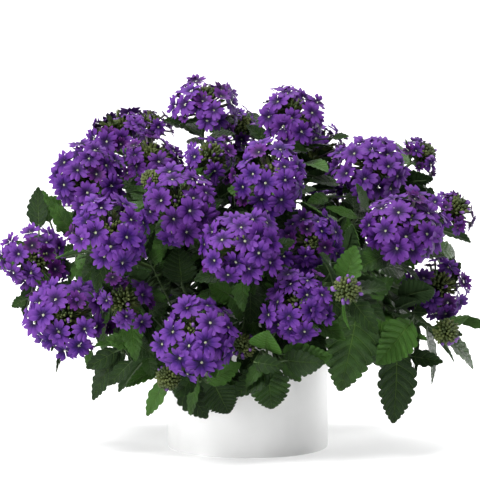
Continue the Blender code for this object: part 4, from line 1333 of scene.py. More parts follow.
FINISHES = (
    GrainFinish(
        "pot_glaze", ((0.84, 0.84, 0.835, 1.0), (0.88, 0.88, 0.875, 1.0)),
        0.38, 0.06, 0.0002, 220.0, coat=0.15,
    ),
    GrainFinish(
        "mix_crumbs", ((0.020, 0.012, 0.008, 1.0), (0.060, 0.038, 0.024, 1.0)), 0.95, 0.8, 0.0008, 500.0
    ),
    GrainFinish("mix_perlite", ((0.55, 0.53, 0.48, 1.0), (0.72, 0.70, 0.66, 1.0)), 0.9, 0.5, 0.0003, 900.0),
    GrainFinish(
        "stem_skin", ((0.024, 0.052, 0.013, 1.0), (0.060, 0.105, 0.028, 1.0)), 0.55, 0.5, 0.0002, 700.0
    ),
    GrainFinish(
        "calyx_skin", ((0.030, 0.050, 0.012, 1.0), (0.105, 0.130, 0.034, 1.0)),
        0.6, 0.5, 0.0002, 900.0, shine=0.3,
    ),
    GrainFinish("bud_tip", ((0.085, 0.024, 0.195, 1.0), (0.200, 0.085, 0.340, 1.0)), 0.5, 0.3, 0.0001, 900.0),
    GrainFinish(
        "corolla_tube", ((0.060, 0.040, 0.080, 1.0), (0.130, 0.110, 0.100, 1.0)), 0.55, 0.3, 0.0001, 900.0
    ),
    GrainFinish("petal_eye", ((0.21, 0.235, 0.15, 1.0), (0.37, 0.39, 0.29, 1.0)), 0.6, 0.2, 0.0001, 900.0),
    LeafFinish(
        "leaf_top", ((0.008, 0.026, 0.005, 1.0), (0.056, 0.148, 0.022, 1.0), (0.145, 0.255, 0.055, 1.0)),
        0.34, 0.9, 0.0014, 700.0, shine=0.20,
    ),
    LeafFinish(
        "leaf_under", ((0.016, 0.034, 0.012, 1.0), (0.040, 0.080, 0.028, 1.0), (0.075, 0.120, 0.048, 1.0)),
        0.70, 0.6, 0.0005, 700.0, shine=0.08,
    ),
    PetalFinish(
        "petal_top",
        (
            (0.020, 0.001, 0.102, 1.0), (0.119, 0.037, 0.254, 1.0), (0.105, 0.005, 0.140, 1.0),
            (0.004, 0.001, 0.014, 1.0),
        ),
        0.60, 0.3, 0.0002, shine=0.16,
    ),
    PetalFinish(
        "petal_under",
        (
            (0.080, 0.028, 0.180, 1.0), (0.150, 0.068, 0.270, 1.0), (0.110, 0.020, 0.115, 1.0),
            (0.045, 0.014, 0.095, 1.0),
        ),
        0.65, 0.2, 0.0002, sheen=0.03, shine=0.22,
    ),
)


class Palette:
    """Every finish of the plant and its pot, built once."""

    def __init__(self) -> None:
        groups = Groups(grain_group(), vein_group(), petal_group())
        self.made = {finish.name: finish.build(groups) for finish in FINISHES}

    def dress(self, piece: Object, *names: str) -> Object:
        """Gives a piece these finishes in its material slots."""
        piece.data.materials.clear()
        for name in names:
            piece.data.materials.append(self.made[name])
        return piece


# Shapes that repeat, each modelled once


@dataclass(frozen=True)
class LimbPattern:
    """A floret's limb of five notched petals, one unit in radius, facing +Z."""

    name: str
    petals: int = 5
    eye: float = 0.072
    reaches: tuple[float, ...] = (0.10, 0.42, 0.80)
    halves: tuple[float, ...] = (0.073, 0.310, 0.430)
    rises: tuple[float, ...] = (-0.09, 0.0, -0.03)
    tip_steps: tuple[float, ...] = (-0.15, 0.12, 0.16, -0.08, 0.16, 0.12, -0.15)
    tip_drops: tuple[float, ...] = (-0.08, -0.03, 0.02, -0.04, 0.02, -0.03, -0.08)
    tuck: float = 0.055
    fold: float = 0.045
    twist: float = 0.018
    unevenness: float = 0.0
    thickness: float = 0.020
    away: float = 10.0

    def petal(self) -> Object:
        """Models one petal from a grid, whose rows are first moved well away from those still to shape."""
        columns, last = len(self.tip_steps) - 1, len(self.reaches) - 1
        bench = Bench(
            self.name, bpy.ops.mesh.primitive_grid_add, x_subdivisions=columns, y_subdivisions=last, size=2.0
        )
        for row, (reach, half, rise) in enumerate(zip(self.reaches, self.halves, self.rises)):
            level = 2.0 * row / last - 1.0
            bench.resize((half, 1.0, 1.0), (0.0, level, 0.0), at_level(1, level, 0.01))
            bench.move((0.0, reach - level + self.away, rise))
        tip, middle = self.away + self.reaches[last], self.away + self.reaches[1]
        for column, (step, drop) in enumerate(zip(self.tip_steps, self.tip_drops)):
            share = 2.0 * column / columns - 1.0
            place = self.halves[last] * share
            bench.move(
                (-self.tuck * share**3, step, drop),
                lambda v, place=place: abs(v.co.x - place) < 0.01 and abs(v.co.y - tip) < 0.001,
            )
        bench.move((0.0, 0.0, -self.fold), lambda v: abs(v.co.y - middle) < 0.01 and abs(v.co.x) < 0.01)
        for side in (-1, 1):
            bench.move(
                (0.0, 0.0, self.twist * side),
                lambda v, side=side: v.co.y > middle - 0.01 and v.co.x * side > 0.3,
            )
        bench.move((0.0, -self.away, 0.0), lambda v: True)
        return bench.close()

    def build(self, palette: Palette) -> Object:
        """Copies the petal round, each copy a little out of line, and sets the raised eye in the middle.

        Args:
            palette: the finishes.

        Returns:
            The limb, its petals with a thickness and a paler under side.
        """
        petal, dice = self.petal(), random.Random(self.name)
        copies = []
        for turn in range(self.petals):
            matrix = Matrix.Rotation(2 * math.pi * turn / self.petals, 4, "Z")
            for axis in ("X", "Y"):
                matrix = matrix @ Matrix.Rotation(dice.uniform(-1.0, 1.0) * self.unevenness, 4, axis)
            size = Matrix.Diagonal((1.0, 1.0 + dice.uniform(-0.3, 0.15) * self.unevenness, 1.0, 1.0))
            copies.append(placed(petal, matrix @ size, 0.0))
        discard(petal)
        limb = palette.dress(join(self.name, copies), "petal_top", "petal_under", "petal_eye")
        if limb.data.polygons[0].normal.z < 0.0:
            limb.data.flip_normals()
        apply_modifier(limb, "SOLIDIFY", thickness=self.thickness, offset=-1.0, material_offset=1)
        bench = Bench(
            "eye", bpy.ops.mesh.primitive_cone_add,
            vertices=8, radius1=self.eye * 1.25, radius2=self.eye * 0.5, depth=self.eye * 0.5,
            location=(0.0, 0.0, self.rises[0] - self.eye * 0.15),
        )
        return shade(join(self.name, [limb, palette.dress(bench.close(), "petal_eye")]), 50)


@dataclass(frozen=True)
class TubePattern:
    """A floret's slim corolla tube, one unit long from the origin along Z."""

    sides: int = 6
    flare: float = 1.5

    def build(self, palette: Palette) -> Object:
        """Models the tube from a cylinder with a wider mouth."""
        bench = Bench(
            "corolla_tube_master", bpy.ops.mesh.primitive_cylinder_add,
            vertices=self.sides, radius=1.0, depth=1.0, location=(0.0, 0.0, 0.5), end_fill_type="NOTHING",
        )
        bench.resize((self.flare, self.flare, 1.0), (0.0, 0.0, 1.0), lambda v: v.co.z > 0.4)
        return shade(palette.dress(bench.close(), "corolla_tube"))


@dataclass(frozen=True)
class CalyxPattern:
    """A ribbed green calyx with five teeth, one unit long from the origin along Z."""

    name: str = "calyx_master"
    teeth: int = 5
    foot: float = 0.55
    tooth: float = 0.26
    groove: float = 0.74
    mouth: float = 0.14

    def is_rib(self, v: bmesh.types.BMVert, ridge: bool) -> bool:
        """Whether a vertex of the wall lies on a ridge, or else in a groove."""
        number = round(math.atan2(v.co.y, v.co.x) * self.teeth / math.pi)
        return v.co.xy.length > 0.1 and number % 2 == (0 if ridge else 1)

    def build(self, palette: Palette) -> Object:
        """Models the calyx from a cylinder with a ribbed wall and a sunk mouth."""
        bench = Bench(
            self.name, bpy.ops.mesh.primitive_cylinder_add,
            vertices=2 * self.teeth, radius=1.0, depth=0.8, location=(0.0, 0.0, 0.4), end_fill_type="TRIFAN",
        )
        bench.resize((self.foot, self.foot, 1.0), (0.0, 0.0, 0.0), lambda v: v.co.z < -0.3)
        bench.move((0.0, 0.0, self.tooth), lambda v: v.co.z > 0.3 and self.is_rib(v, True))
        bench.resize((self.groove, self.groove, 1.0), (0.0, 0.0, 0.4), lambda v: self.is_rib(v, False))
        bench.move((0.0, 0.0, -self.mouth), lambda v: v.co.z > 0.3 and v.co.xy.length < 0.1)
        return shade(palette.dress(bench.close(), "calyx_skin"), 40)


@dataclass(frozen=True)
class BudPattern:
    """A closed bud, one unit long from the origin along Z: narrow at its foot and plump near its tip."""

    name: str
    coloured: bool = False
    sides: int = 6
    heights: tuple[float, ...] = (0.0, 0.10, 0.58, 0.84, 0.97, 1.0)
    reaches: tuple[float, ...] = (0.0, 0.30, 0.72, 1.0, 0.66, 0.0)
    away: float = 10.0
    tinted_from: float = 0.6

    def build(self, palette: Palette) -> Object:
        """Models the bud from a ball whose rings are resized and moved."""
        last = len(self.heights) - 1
        bench = Bench(
            self.name, bpy.ops.mesh.primitive_uv_sphere_add, segments=self.sides, ring_count=last, radius=1.0
        )
        for ring in range(last, -1, -1):
            turn = math.pi * ring / last
            level = -math.cos(turn)
            reach = self.reaches[ring] / math.sin(turn) if 0 < ring < last else 1.0
            bench.resize((reach, reach, 1.0), (0.0, 0.0, level), at_level(2, level, 0.001))
            bench.move((0.0, 0.0, self.heights[ring] + self.away - level))
        bench.move((0.0, 0.0, -self.away), lambda v: True)
        bud = palette.dress(bench.close(), "calyx_skin", "bud_tip")
        for face in bud.data.polygons:
            face.material_index = int(self.coloured and face.center.z > self.tinted_from)
        return shade(bud)


@dataclass(frozen=True)
class BladePattern:
    """A flat toothed blade, one unit long along Y and one unit to each side at its widest."""

    name: str
    above: float
    teeth: int
    rows_per_tooth: int
    columns: int
    notch: float
    quilt: float
    fold: float = 0.05
    slant: float = 0.24
    thickness: float = 0.016
    least: float = 0.06
    sunk: float = 1.1

    @staticmethod
    def outline(along: float) -> float:
        """The share of its full width that a blade has at a share of its length."""
        swell = math.sin(math.pi * min(1.0, along) ** 0.72)
        return swell ** (1.0 if along < 0.38 else 0.74)

    def build(self, palette: Palette) -> Object:
        """Models the blade from a grid whose rows run out along the side veins to the teeth.

        Args:
            palette: the finishes.

        Returns:
            The blade with its UV map, its thickness and a paler under side.
        """
        rows = self.teeth * self.rows_per_tooth
        bench = Bench(
            self.name, bpy.ops.mesh.primitive_grid_add,
            x_subdivisions=self.columns, y_subdivisions=rows, size=2.0,
        )
        bench.resize((0.0, 1.0, 1.0), (0.0, 1.0, 0.0), lambda v: v.co.y > 0.999)
        blade = bench.close()
        points = points_of(blade.data)
        uv = blade.data.uv_layers.active.data
        teeth_up = np.round((points[:, 1] + 1.0) / 2.0 * rows) / self.rows_per_tooth
        for loop in blade.data.loops:
            across = 0.5 if teeth_up[loop.vertex_index] == self.teeth else uv[loop.index].uv[0]
            uv[loop.index].uv = (across, teeth_up[loop.vertex_index] / TEETH_PER_UV)
        for index, (x, y, _) in enumerate(points):
            points[index] = self.shaped(x, round((y + 1.0) / 2.0 * rows), rows)
        blade.data.vertices.foreach_set("co", points.astype(np.float32).ravel())
        palette.dress(blade, "leaf_top", "leaf_under")
        set_active(blade)
        bpy.ops.object.mode_set(mode="EDIT")
        bpy.ops.mesh.select_all(action="SELECT")
        bpy.ops.mesh.remove_doubles(threshold=0.00001)
        bpy.ops.object.mode_set(mode="OBJECT")
        apply_modifier(blade, "SOLIDIFY", thickness=self.thickness, offset=-1.0, material_offset=1)
        return shade(blade, 60)

    def shaped(self, x: float, row: int, rows: int) -> tuple[float, float, float]:
        """Where a grid point lies on the blade.

        Args:
            x: its place across, -1 to 1.
            row: its row from the blade's root.
            rows: how many rows there are.

        Returns:
            Its place across, along and above the blade.
        """
        along = row / rows
        phase = row % self.rows_per_tooth / self.rows_per_tooth
        out = abs(x)
        lean = self.slant * math.sin(math.pi * along) ** 0.8 * (1.0 - 0.5 * along)
        tooth = self.notch + (1.0 - self.notch) * math.sin(math.pi * min(1.0, phase / 1.1) ** 0.75)
        toothed = self.outline(along + lean) * (1.0 - out * out * (1.0 - tooth))
        share = 0.0 if row == rows else max(self.least, toothed)
        forward = 0.5 / rows * phase * out**3 if row < rows else 0.0
        between = math.cos(2.0 * math.pi * (phase - 0.2)) * math.sqrt(max(0.0, out * (1.15 - out)))
        groove = -self.sunk * max(0.0, 1.0 - out / 0.3)
        height = self.quilt * (between + groove) * self.outline(along) + self.fold * out * share
        return x * share, along + lean * out + forward, height


LIMBS = (
    LimbPattern("limb_cupped", rises=(-0.12, -0.03, 0.14), unevenness=0.12, twist=0.02),
    LimbPattern("limb_flat", unevenness=0.14),
    LimbPattern("limb_bent_back", rises=(-0.10, 0.01, -0.13), unevenness=0.18),
    LimbPattern("limb_ruffled", fold=0.07, twist=0.035, unevenness=0.26),
    LimbPattern("limb_wide", rises=(-0.09, 0.03, 0.03), fold=0.06, unevenness=0.20),
)
BLADES = (
    BladePattern("large_blade", 0.029, 9, 4, 6, 0.81, 0.032),
    BladePattern("middle_blade", 0.0185, 7, 3, 4, 0.81, 0.038),
    BladePattern("small_blade", 0.0120, 5, 3, 4, 0.80, 0.04),
    BladePattern("tiny_blade", 0.0, 4, 2, 2, 0.80, 0.0),
)


class Nursery:
    """The master shapes, modelled once and copied to every place where they repeat."""

    def __init__(self, palette: Palette) -> None:
        self.palette = palette
        self.limbs = [pattern.build(palette) for pattern in LIMBS]
        self.tube, self.calyx = TubePattern().build(palette), CalyxPattern().build(palette)
        self.buds = [BudPattern("green_bud").build(palette), BudPattern("coloured_bud", True).build(palette)]
        self.blades = [pattern.build(palette) for pattern in BLADES]

    def clear(self) -> None:
        """Removes the masters when everything is copied."""
        discard(*self.limbs, self.tube, self.calyx, *self.buds, *self.blades)


# Sub-assemblies


def hand_over(piece: Object, slot: Slot, *nodes: str) -> Object:
    """Says what a finished piece rides on and hides the parts of the frame that it stands for."""
    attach(piece, BODY)
    if nodes:
        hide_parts(*nodes)
    LOG.info("%s: %d faces", piece.name, len(piece.data.polygons))
    return piece


@dataclass
class Pot:
    """The open cylinder pot with its softly rounded rim and foot."""

    radius: float = POT_RADIUS
    height: float = POT_HEIGHT
    wall: float = POT_WALL
    base: float = 0.006
    edge: float = 0.0012
    sides: int = 160
    level: float = 1e-5

    def build(self, palette: Palette) -> Object:
        """Models the pot from a cylinder: its top is inset, sunk to the base, and its edges rounded.

        Args:
            palette: the finishes.

        Returns:
            The pot as one piece.
        """
        top = self.height / 2
        bench = Bench(
            "white_pot", bpy.ops.mesh.primitive_cylinder_add,
            vertices=self.sides, radius=self.radius, depth=self.height, location=(0.0, 0.0, top),
        )
        bench.pick("FACE", lambda f: f.normal.z > 0.9)
        bpy.ops.mesh.inset(thickness=self.wall)
        down = {"value": (0.0, 0.0, self.base - self.height)}
        bpy.ops.mesh.extrude_region_move(TRANSFORM_OT_translate=down)
        bench.pick("EDGE", lambda e: all(abs(v.co.z - top) < self.level for v in e.verts)
                   and abs(e.verts[0].co.xy.length - e.verts[1].co.xy.length) < self.level)
        bpy.ops.mesh.bevel(offset=self.edge, segments=5, profile=0.5)
        bench.pick("EDGE", lambda e: all(v.co.z < self.level - top for v in e.verts))
        bpy.ops.mesh.bevel(offset=self.edge, segments=4, profile=0.5)
        return hand_over(shade(palette.dress(bench.close(), "pot_glaze"), 35), Slot.POT, "pot")


@dataclass
class PottingMix:
    """The mound of potting mix: an uneven crumbly surface with bark, peat and perlite on it."""

    reach: float = POT_RADIUS - POT_WALL - 0.0003
    floor: float = 0.0063
    sides: int = 90
    rings: int = 14
    unevenness: float = 0.0009
    crumbs: int = 420
    crumb_sizes: tuple[float, float] = (0.0008, 0.0024)
    crumb_unevenness: float = 0.25
    pale_share: float = 0.12

    def build(self, palette: Palette) -> Object:
        """Models the mound and scatters its crumbs.

        Args:
            palette: the finishes.

        Returns:
            The mix as one piece.
        """
        dice = random.Random(SEED + 1)
        depth = MIX_TOP - MIX_CROWN - self.floor
        bench = Bench(
            "mix_surface", bpy.ops.mesh.primitive_cylinder_add, vertices=self.sides, radius=self.reach,
            depth=depth, location=(0.0, 0.0, self.floor + depth / 2),
        )
        bench.pick("FACE", lambda f: f.normal.z > 0.9)
        for _ in range(self.rings):
            bpy.ops.mesh.inset(thickness=self.reach / (self.rings + 1))
        inner = self.reach - 0.001
        bench.move((0.0, 0.0, MIX_CROWN * 0.6), lambda v: v.co.z > 0.0 and v.co.xy.length < inner)
        bpy.ops.transform.vertex_random(offset=self.unevenness, uniform=0.0, normal=0.0, seed=SEED)
        mound = shade(palette.dress(bench.close(), "mix_crumbs", "mix_perlite"), 50)
        crumb = self.crumb(palette)
        copies = [mound]
        for _ in range(self.crumbs):
            far = self.reach * 0.95 * math.sqrt(dice.random())
            turn = dice.uniform(0.0, 2 * math.pi)
            size = dice.uniform(*self.crumb_sizes)
            spot = Vector((far * math.cos(turn), far * math.sin(turn), MIX_TOP - MIX_CROWN * 0.35))
            tumbled = Matrix.Rotation(dice.uniform(0.0, math.pi), 4, shaken(dice, 1.0).normalized())
            stretched = Matrix.Diagonal((size, size * dice.uniform(0.5, 1.0), size * 0.6, 1.0))
            made = placed(crumb, Matrix.Translation(spot) @ tumbled @ stretched, 0.5)
            if dice.random() < self.pale_share:
                made.data.polygons.foreach_set("material_index", [1] * len(made.data.polygons))
            copies.append(made)
        discard(crumb)
        return hand_over(join("mix_surface", copies), Slot.MIX, "potting_mix")

    def crumb(self, palette: Palette) -> Object:
        """One rough crumb, a unit in radius."""
        bench = Bench("crumb", bpy.ops.mesh.primitive_ico_sphere_add, subdivisions=1, radius=1.0)
        bench.pick("VERT", lambda v: True)
        bpy.ops.transform.vertex_random(offset=self.crumb_unevenness, seed=SEED)
        return palette.dress(bench.close(), "mix_crumbs", "mix_perlite")


@dataclass
class RingPlan:
    """A ring of florets: how many, its lean from the head's axis in degrees, its start and reach."""

    count: int
    lean: float
    start: float
    reach: float


@dataclass
class HeadPlan:
    """How a kind of head is filled: its rings, its florets' share of its radius, and its buds."""

    rings: tuple[RingPlan, ...]
    share: float
    buds: int
    bud_spread: float = 34.0
    bud_reach: float = 0.62
    fresh: float = 0.0


HEAD_PLANS = {
    Kind.FULL: HeadPlan(
        (
            RingPlan(3, 20, 10, 0.98), RingPlan(7, 47, 35, 0.97), RingPlan(10, 76, 0, 0.95),
            RingPlan(7, 98, 20, 0.86),
        ),
        0.40, 12, 16.0, 0.70, 0.25,
    ),
    Kind.OPEN: HeadPlan(
        (RingPlan(5, 34, 0, 0.95), RingPlan(8, 62, 20, 0.98), RingPlan(9, 90, 0, 0.92)),
        0.405, 26, 27.0, 0.66, 0.3,
    ),
    Kind.MEDIUM: HeadPlan(
        (RingPlan(5, 46, 40, 0.93), RingPlan(8, 74, 10, 0.95), RingPlan(7, 98, 30, 0.88)),
        0.41, 34, 34.0, 0.76, 0.4,
    ),
    Kind.YOUNG: HeadPlan((RingPlan(4, 56, 0, 0.90), RingPlan(7, 88, 30, 0.95)), 0.46, 40, 42.0, 0.80, 0.6),
    Kind.BUD: HeadPlan((), 0.0, 76, 100.0, 0.92),
}

# The heads at the back take turns at these plans
BACK_PLANS = (Kind.FULL, Kind.OPEN, Kind.MEDIUM)

# Heads that are flatter than the rest
FLAT_HEADS = {"04": 0.45, "14": 0.65, "16": 0.65}

# Heads whose buds lie deep among their florets, with the share of their reach
DEEP_BUDS = {"04": 0.55, "05": 0.62, "07": 0.62}


@dataclass(frozen=True)
class Flower:
    """One floret of a head: its foot, its limb's place, facing and radius, and how newly open it is."""

    foot: Vector
    limb: Vector
    facing: Vector
    radius: float
    fresh: float


@dataclass
class FlowerHead:
    """A verbena head: florets on slim tubes, whose calyces spring from the top of the stem."""

    bloom: Bloom
    dice: random.Random
    tube_radius: float = 0.00075
    calyx_length: float = 0.0105
    calyx_radius: float = 0.0013
    bud_radius: float = 0.0014
    coloured_share: float = 0.12
    flatness: float = 0.76
    turn_jitter: float = 0.2
    lean_jitter: float = 6.0
    least_lean: float = 6.0
    layers: float = 0.065
    tilt_jitter: float = 0.32
    towards_axis: float = 0.5
    sway: float = 9.0
    oval: float = 0.06
    missing: float = 0.10
    warmth: float = 0.34
    stray: float = 0.16
    stray_reach: float = 0.13
    foot_depth: float = 0.30
    new_fresh: tuple[float, float] = (0.55, 1.0)
    old_fresh: tuple[float, float] = (0.0, 0.22)
    inner_size: float = 0.80
    stray_size: float = 0.66
    sizes: tuple[float, float] = (0.92, 1.10)
    mouth: float = 0.75
    neck: float = 0.13
    gathered: float = 0.95
    grown: float = 0.93
    spent: int = 34
    spent_spread: float = 105.0
    spent_lengths: tuple[float, float] = (0.42, 0.56)
    spent_width: float = 1.4
    bud_start: float = 0.14
    # Painted shade: how much darker a floret's colour is painted the further it faces downwards, and paler
    # facing up
    painted_downward_shade: float = 0.55
    opening: float = 1.30

    @property
    def plan(self) -> HeadPlan:
        """The plan of the head's kind."""
        if self.bloom.kind is Kind.BACK:
            return HEAD_PLANS[BACK_PLANS[int(self.bloom.key) % len(BACK_PLANS)]]
        return HEAD_PLANS[self.bloom.kind]

    def around(self, lean: float, turn: float) -> Vector:
        """The way out from the head's middle at a lean from its axis and a turn about it."""
        return self.bloom.axis * math.cos(lean) + sideways(self.bloom.axis, turn) * math.sin(lean)

    def scattered(self, count: int, spread: float, wobble: float) -> Iterator[tuple[float, float, Vector]]:
        """Ways out from the head's middle, spread evenly over its dome.

        Args:
            count: how many there are.
            spread: the lean of the last ones from the axis, in degrees.
            wobble: how far each way is out of line.

        Returns:
            One by one, the share of the ways that lie further in, the lean and the way.
        """
        for k in range(count):
            share = (k + 0.5) / count
            lean = math.radians(spread) * math.sqrt(share)
            way = self.around(lean, k * math.pi * (3.0 - math.sqrt(5.0))) + shaken(self.dice, wobble)
            yield share, lean, way.normalized()

    def flowers(self) -> list[Flower]:
        """The head's florets in their rings, each a little out of line."""
        made = []
        bloom, dice = self.bloom, self.dice
        lopsided, longer = dice.uniform(0.0, 2 * math.pi), dice.uniform(0.0, math.pi)
        flatness = FLAT_HEADS.get(bloom.key, self.flatness)
        for number, ring in enumerate(self.plan.rings):
            last = number == len(self.plan.rings) - 1
            for k in range(ring.count):
                if last and dice.random() < self.missing:
                    continue
                shift = dice.uniform(-self.turn_jitter, self.turn_jitter)
                turn = math.radians(ring.start) + 2 * math.pi * (k + shift) / ring.count
                swayed = ring.lean + self.sway * math.cos(turn - lopsided)
                swayed += dice.uniform(-self.lean_jitter, self.lean_jitter)
                lean = math.radians(max(self.least_lean, swayed))
                out = self.around(lean, turn)
                flat = (out - bloom.axis * out.dot(bloom.axis) * (1.0 - flatness)) * self.gathered
                stray = last and dice.random() < self.stray
                layer = self.layers * (-1) ** k + dice.uniform(-self.layers, self.layers) / 2
                stretch = 1.0 + self.oval * math.cos(2.0 * (turn - longer))
                reach = ring.reach * stretch + layer + (self.stray_reach if stray else 0.0)
                rise = math.cos(lean) * self.foot_depth - self.foot_depth
                foot = bloom.centre + bloom.axis * bloom.radius * rise
                limb = bloom.centre + flat * bloom.radius * reach
                facing = (out + bloom.axis * self.towards_axis + shaken(dice, self.tilt_jitter)).normalized()
                inner = number == 0 and dice.random() < self.plan.fresh
                fresh = dice.uniform(*(self.new_fresh if inner or stray else self.old_fresh))
                grown = self.grown * (self.inner_size if inner else self.stray_size if stray else 1.0)
                radius = bloom.radius * self.plan.share * grown * dice.uniform(*self.sizes)
                made.append(Flower(foot, limb, facing, radius, fresh))
        return made

    def corollas(self, flowers: list[Flower], nursery: Nursery) -> list[Object]:
        """The limbs and tubes of the florets."""
        copies = []
        mood, warm = self.dice.uniform(0.2, 0.8), self.dice.uniform(0.0, self.warmth)
        for flower in flowers:
            # Painted shade: florets that face downwards take a darker tone and those facing up a paler one,
            # as if lit from above
            tone = min(1.0, max(0.0, self.dice.gauss(mood + self.painted_downward_shade * flower.facing.z, 0.2)))
            fresh = max(flower.fresh, warm * self.dice.uniform(0.5, 1.0))
            master = nursery.limbs[0 if flower.fresh > 0.5 else self.dice.randrange(1, len(nursery.limbs))]
            spin = Matrix.Rotation(self.dice.uniform(0.0, 2 * math.pi), 4, "Z")
            size = Matrix.Scale(flower.radius, 4)
            copies.append(placed(master, frame_at(flower.limb, flower.facing) @ spin @ size, tone, fresh))
            way = (flower.limb - flower.foot).normalized()
            mouth = flower.foot + way * self.calyx_length * self.mouth
            run = flower.limb - flower.facing * flower.radius * self.neck - mouth
            copies.append(planted(nursery.tube, mouth, run.normalized(), self.tube_radius, run.length, tone))
        return copies

    def calyces(self, flowers: list[Flower], nursery: Nursery) -> list[Object]:
        """The green calyces and the buds of the head.

        Args:
            flowers: the head's florets, none for a cluster of buds.
            nursery: the master shapes.

        Returns:
            A calyx for each floret, the spent calyces under them and the buds in their middle.
        """
        bloom, plan, dice, wide = self.bloom, self.plan, self.dice, self.calyx_radius
        copies = []
        for flower in flowers:
            way = (flower.limb - flower.foot).normalized()
            copies.append(planted(nursery.calyx, flower.foot, way, wide, self.calyx_length, dice.random()))
        for _, _, way in self.scattered(self.spent if flowers else 0, self.spent_spread, 0.1):
            tall = bloom.radius * dice.uniform(*self.spent_lengths)
            foot = bloom.centre + way * bloom.radius * 0.1
            copies.append(planted(nursery.calyx, foot, way, wide * self.spent_width, tall, dice.random()))
        for outer, lean, way in self.scattered(plan.buds, plan.bud_spread, 0.08):
            reach = bloom.radius * plan.bud_reach * dice.uniform(0.92, 1.04)
            reach *= DEEP_BUDS.get(bloom.key, 1.0)
            reach *= 1.0 if flowers else 1.0 - 0.25 * math.cos(lean)
            start = reach * self.bud_start
            thick = self.bud_radius * dice.uniform(0.85, 1.1)
            ripe = dice.random() < self.coloured_share * 2.0 * outer
            if ripe:
                thick *= self.opening
                reach *= 1.08
            foot = bloom.centre + way * start
            copies.append(planted(nursery.buds[ripe], foot, way, thick, reach - start, dice.random()))
        return copies


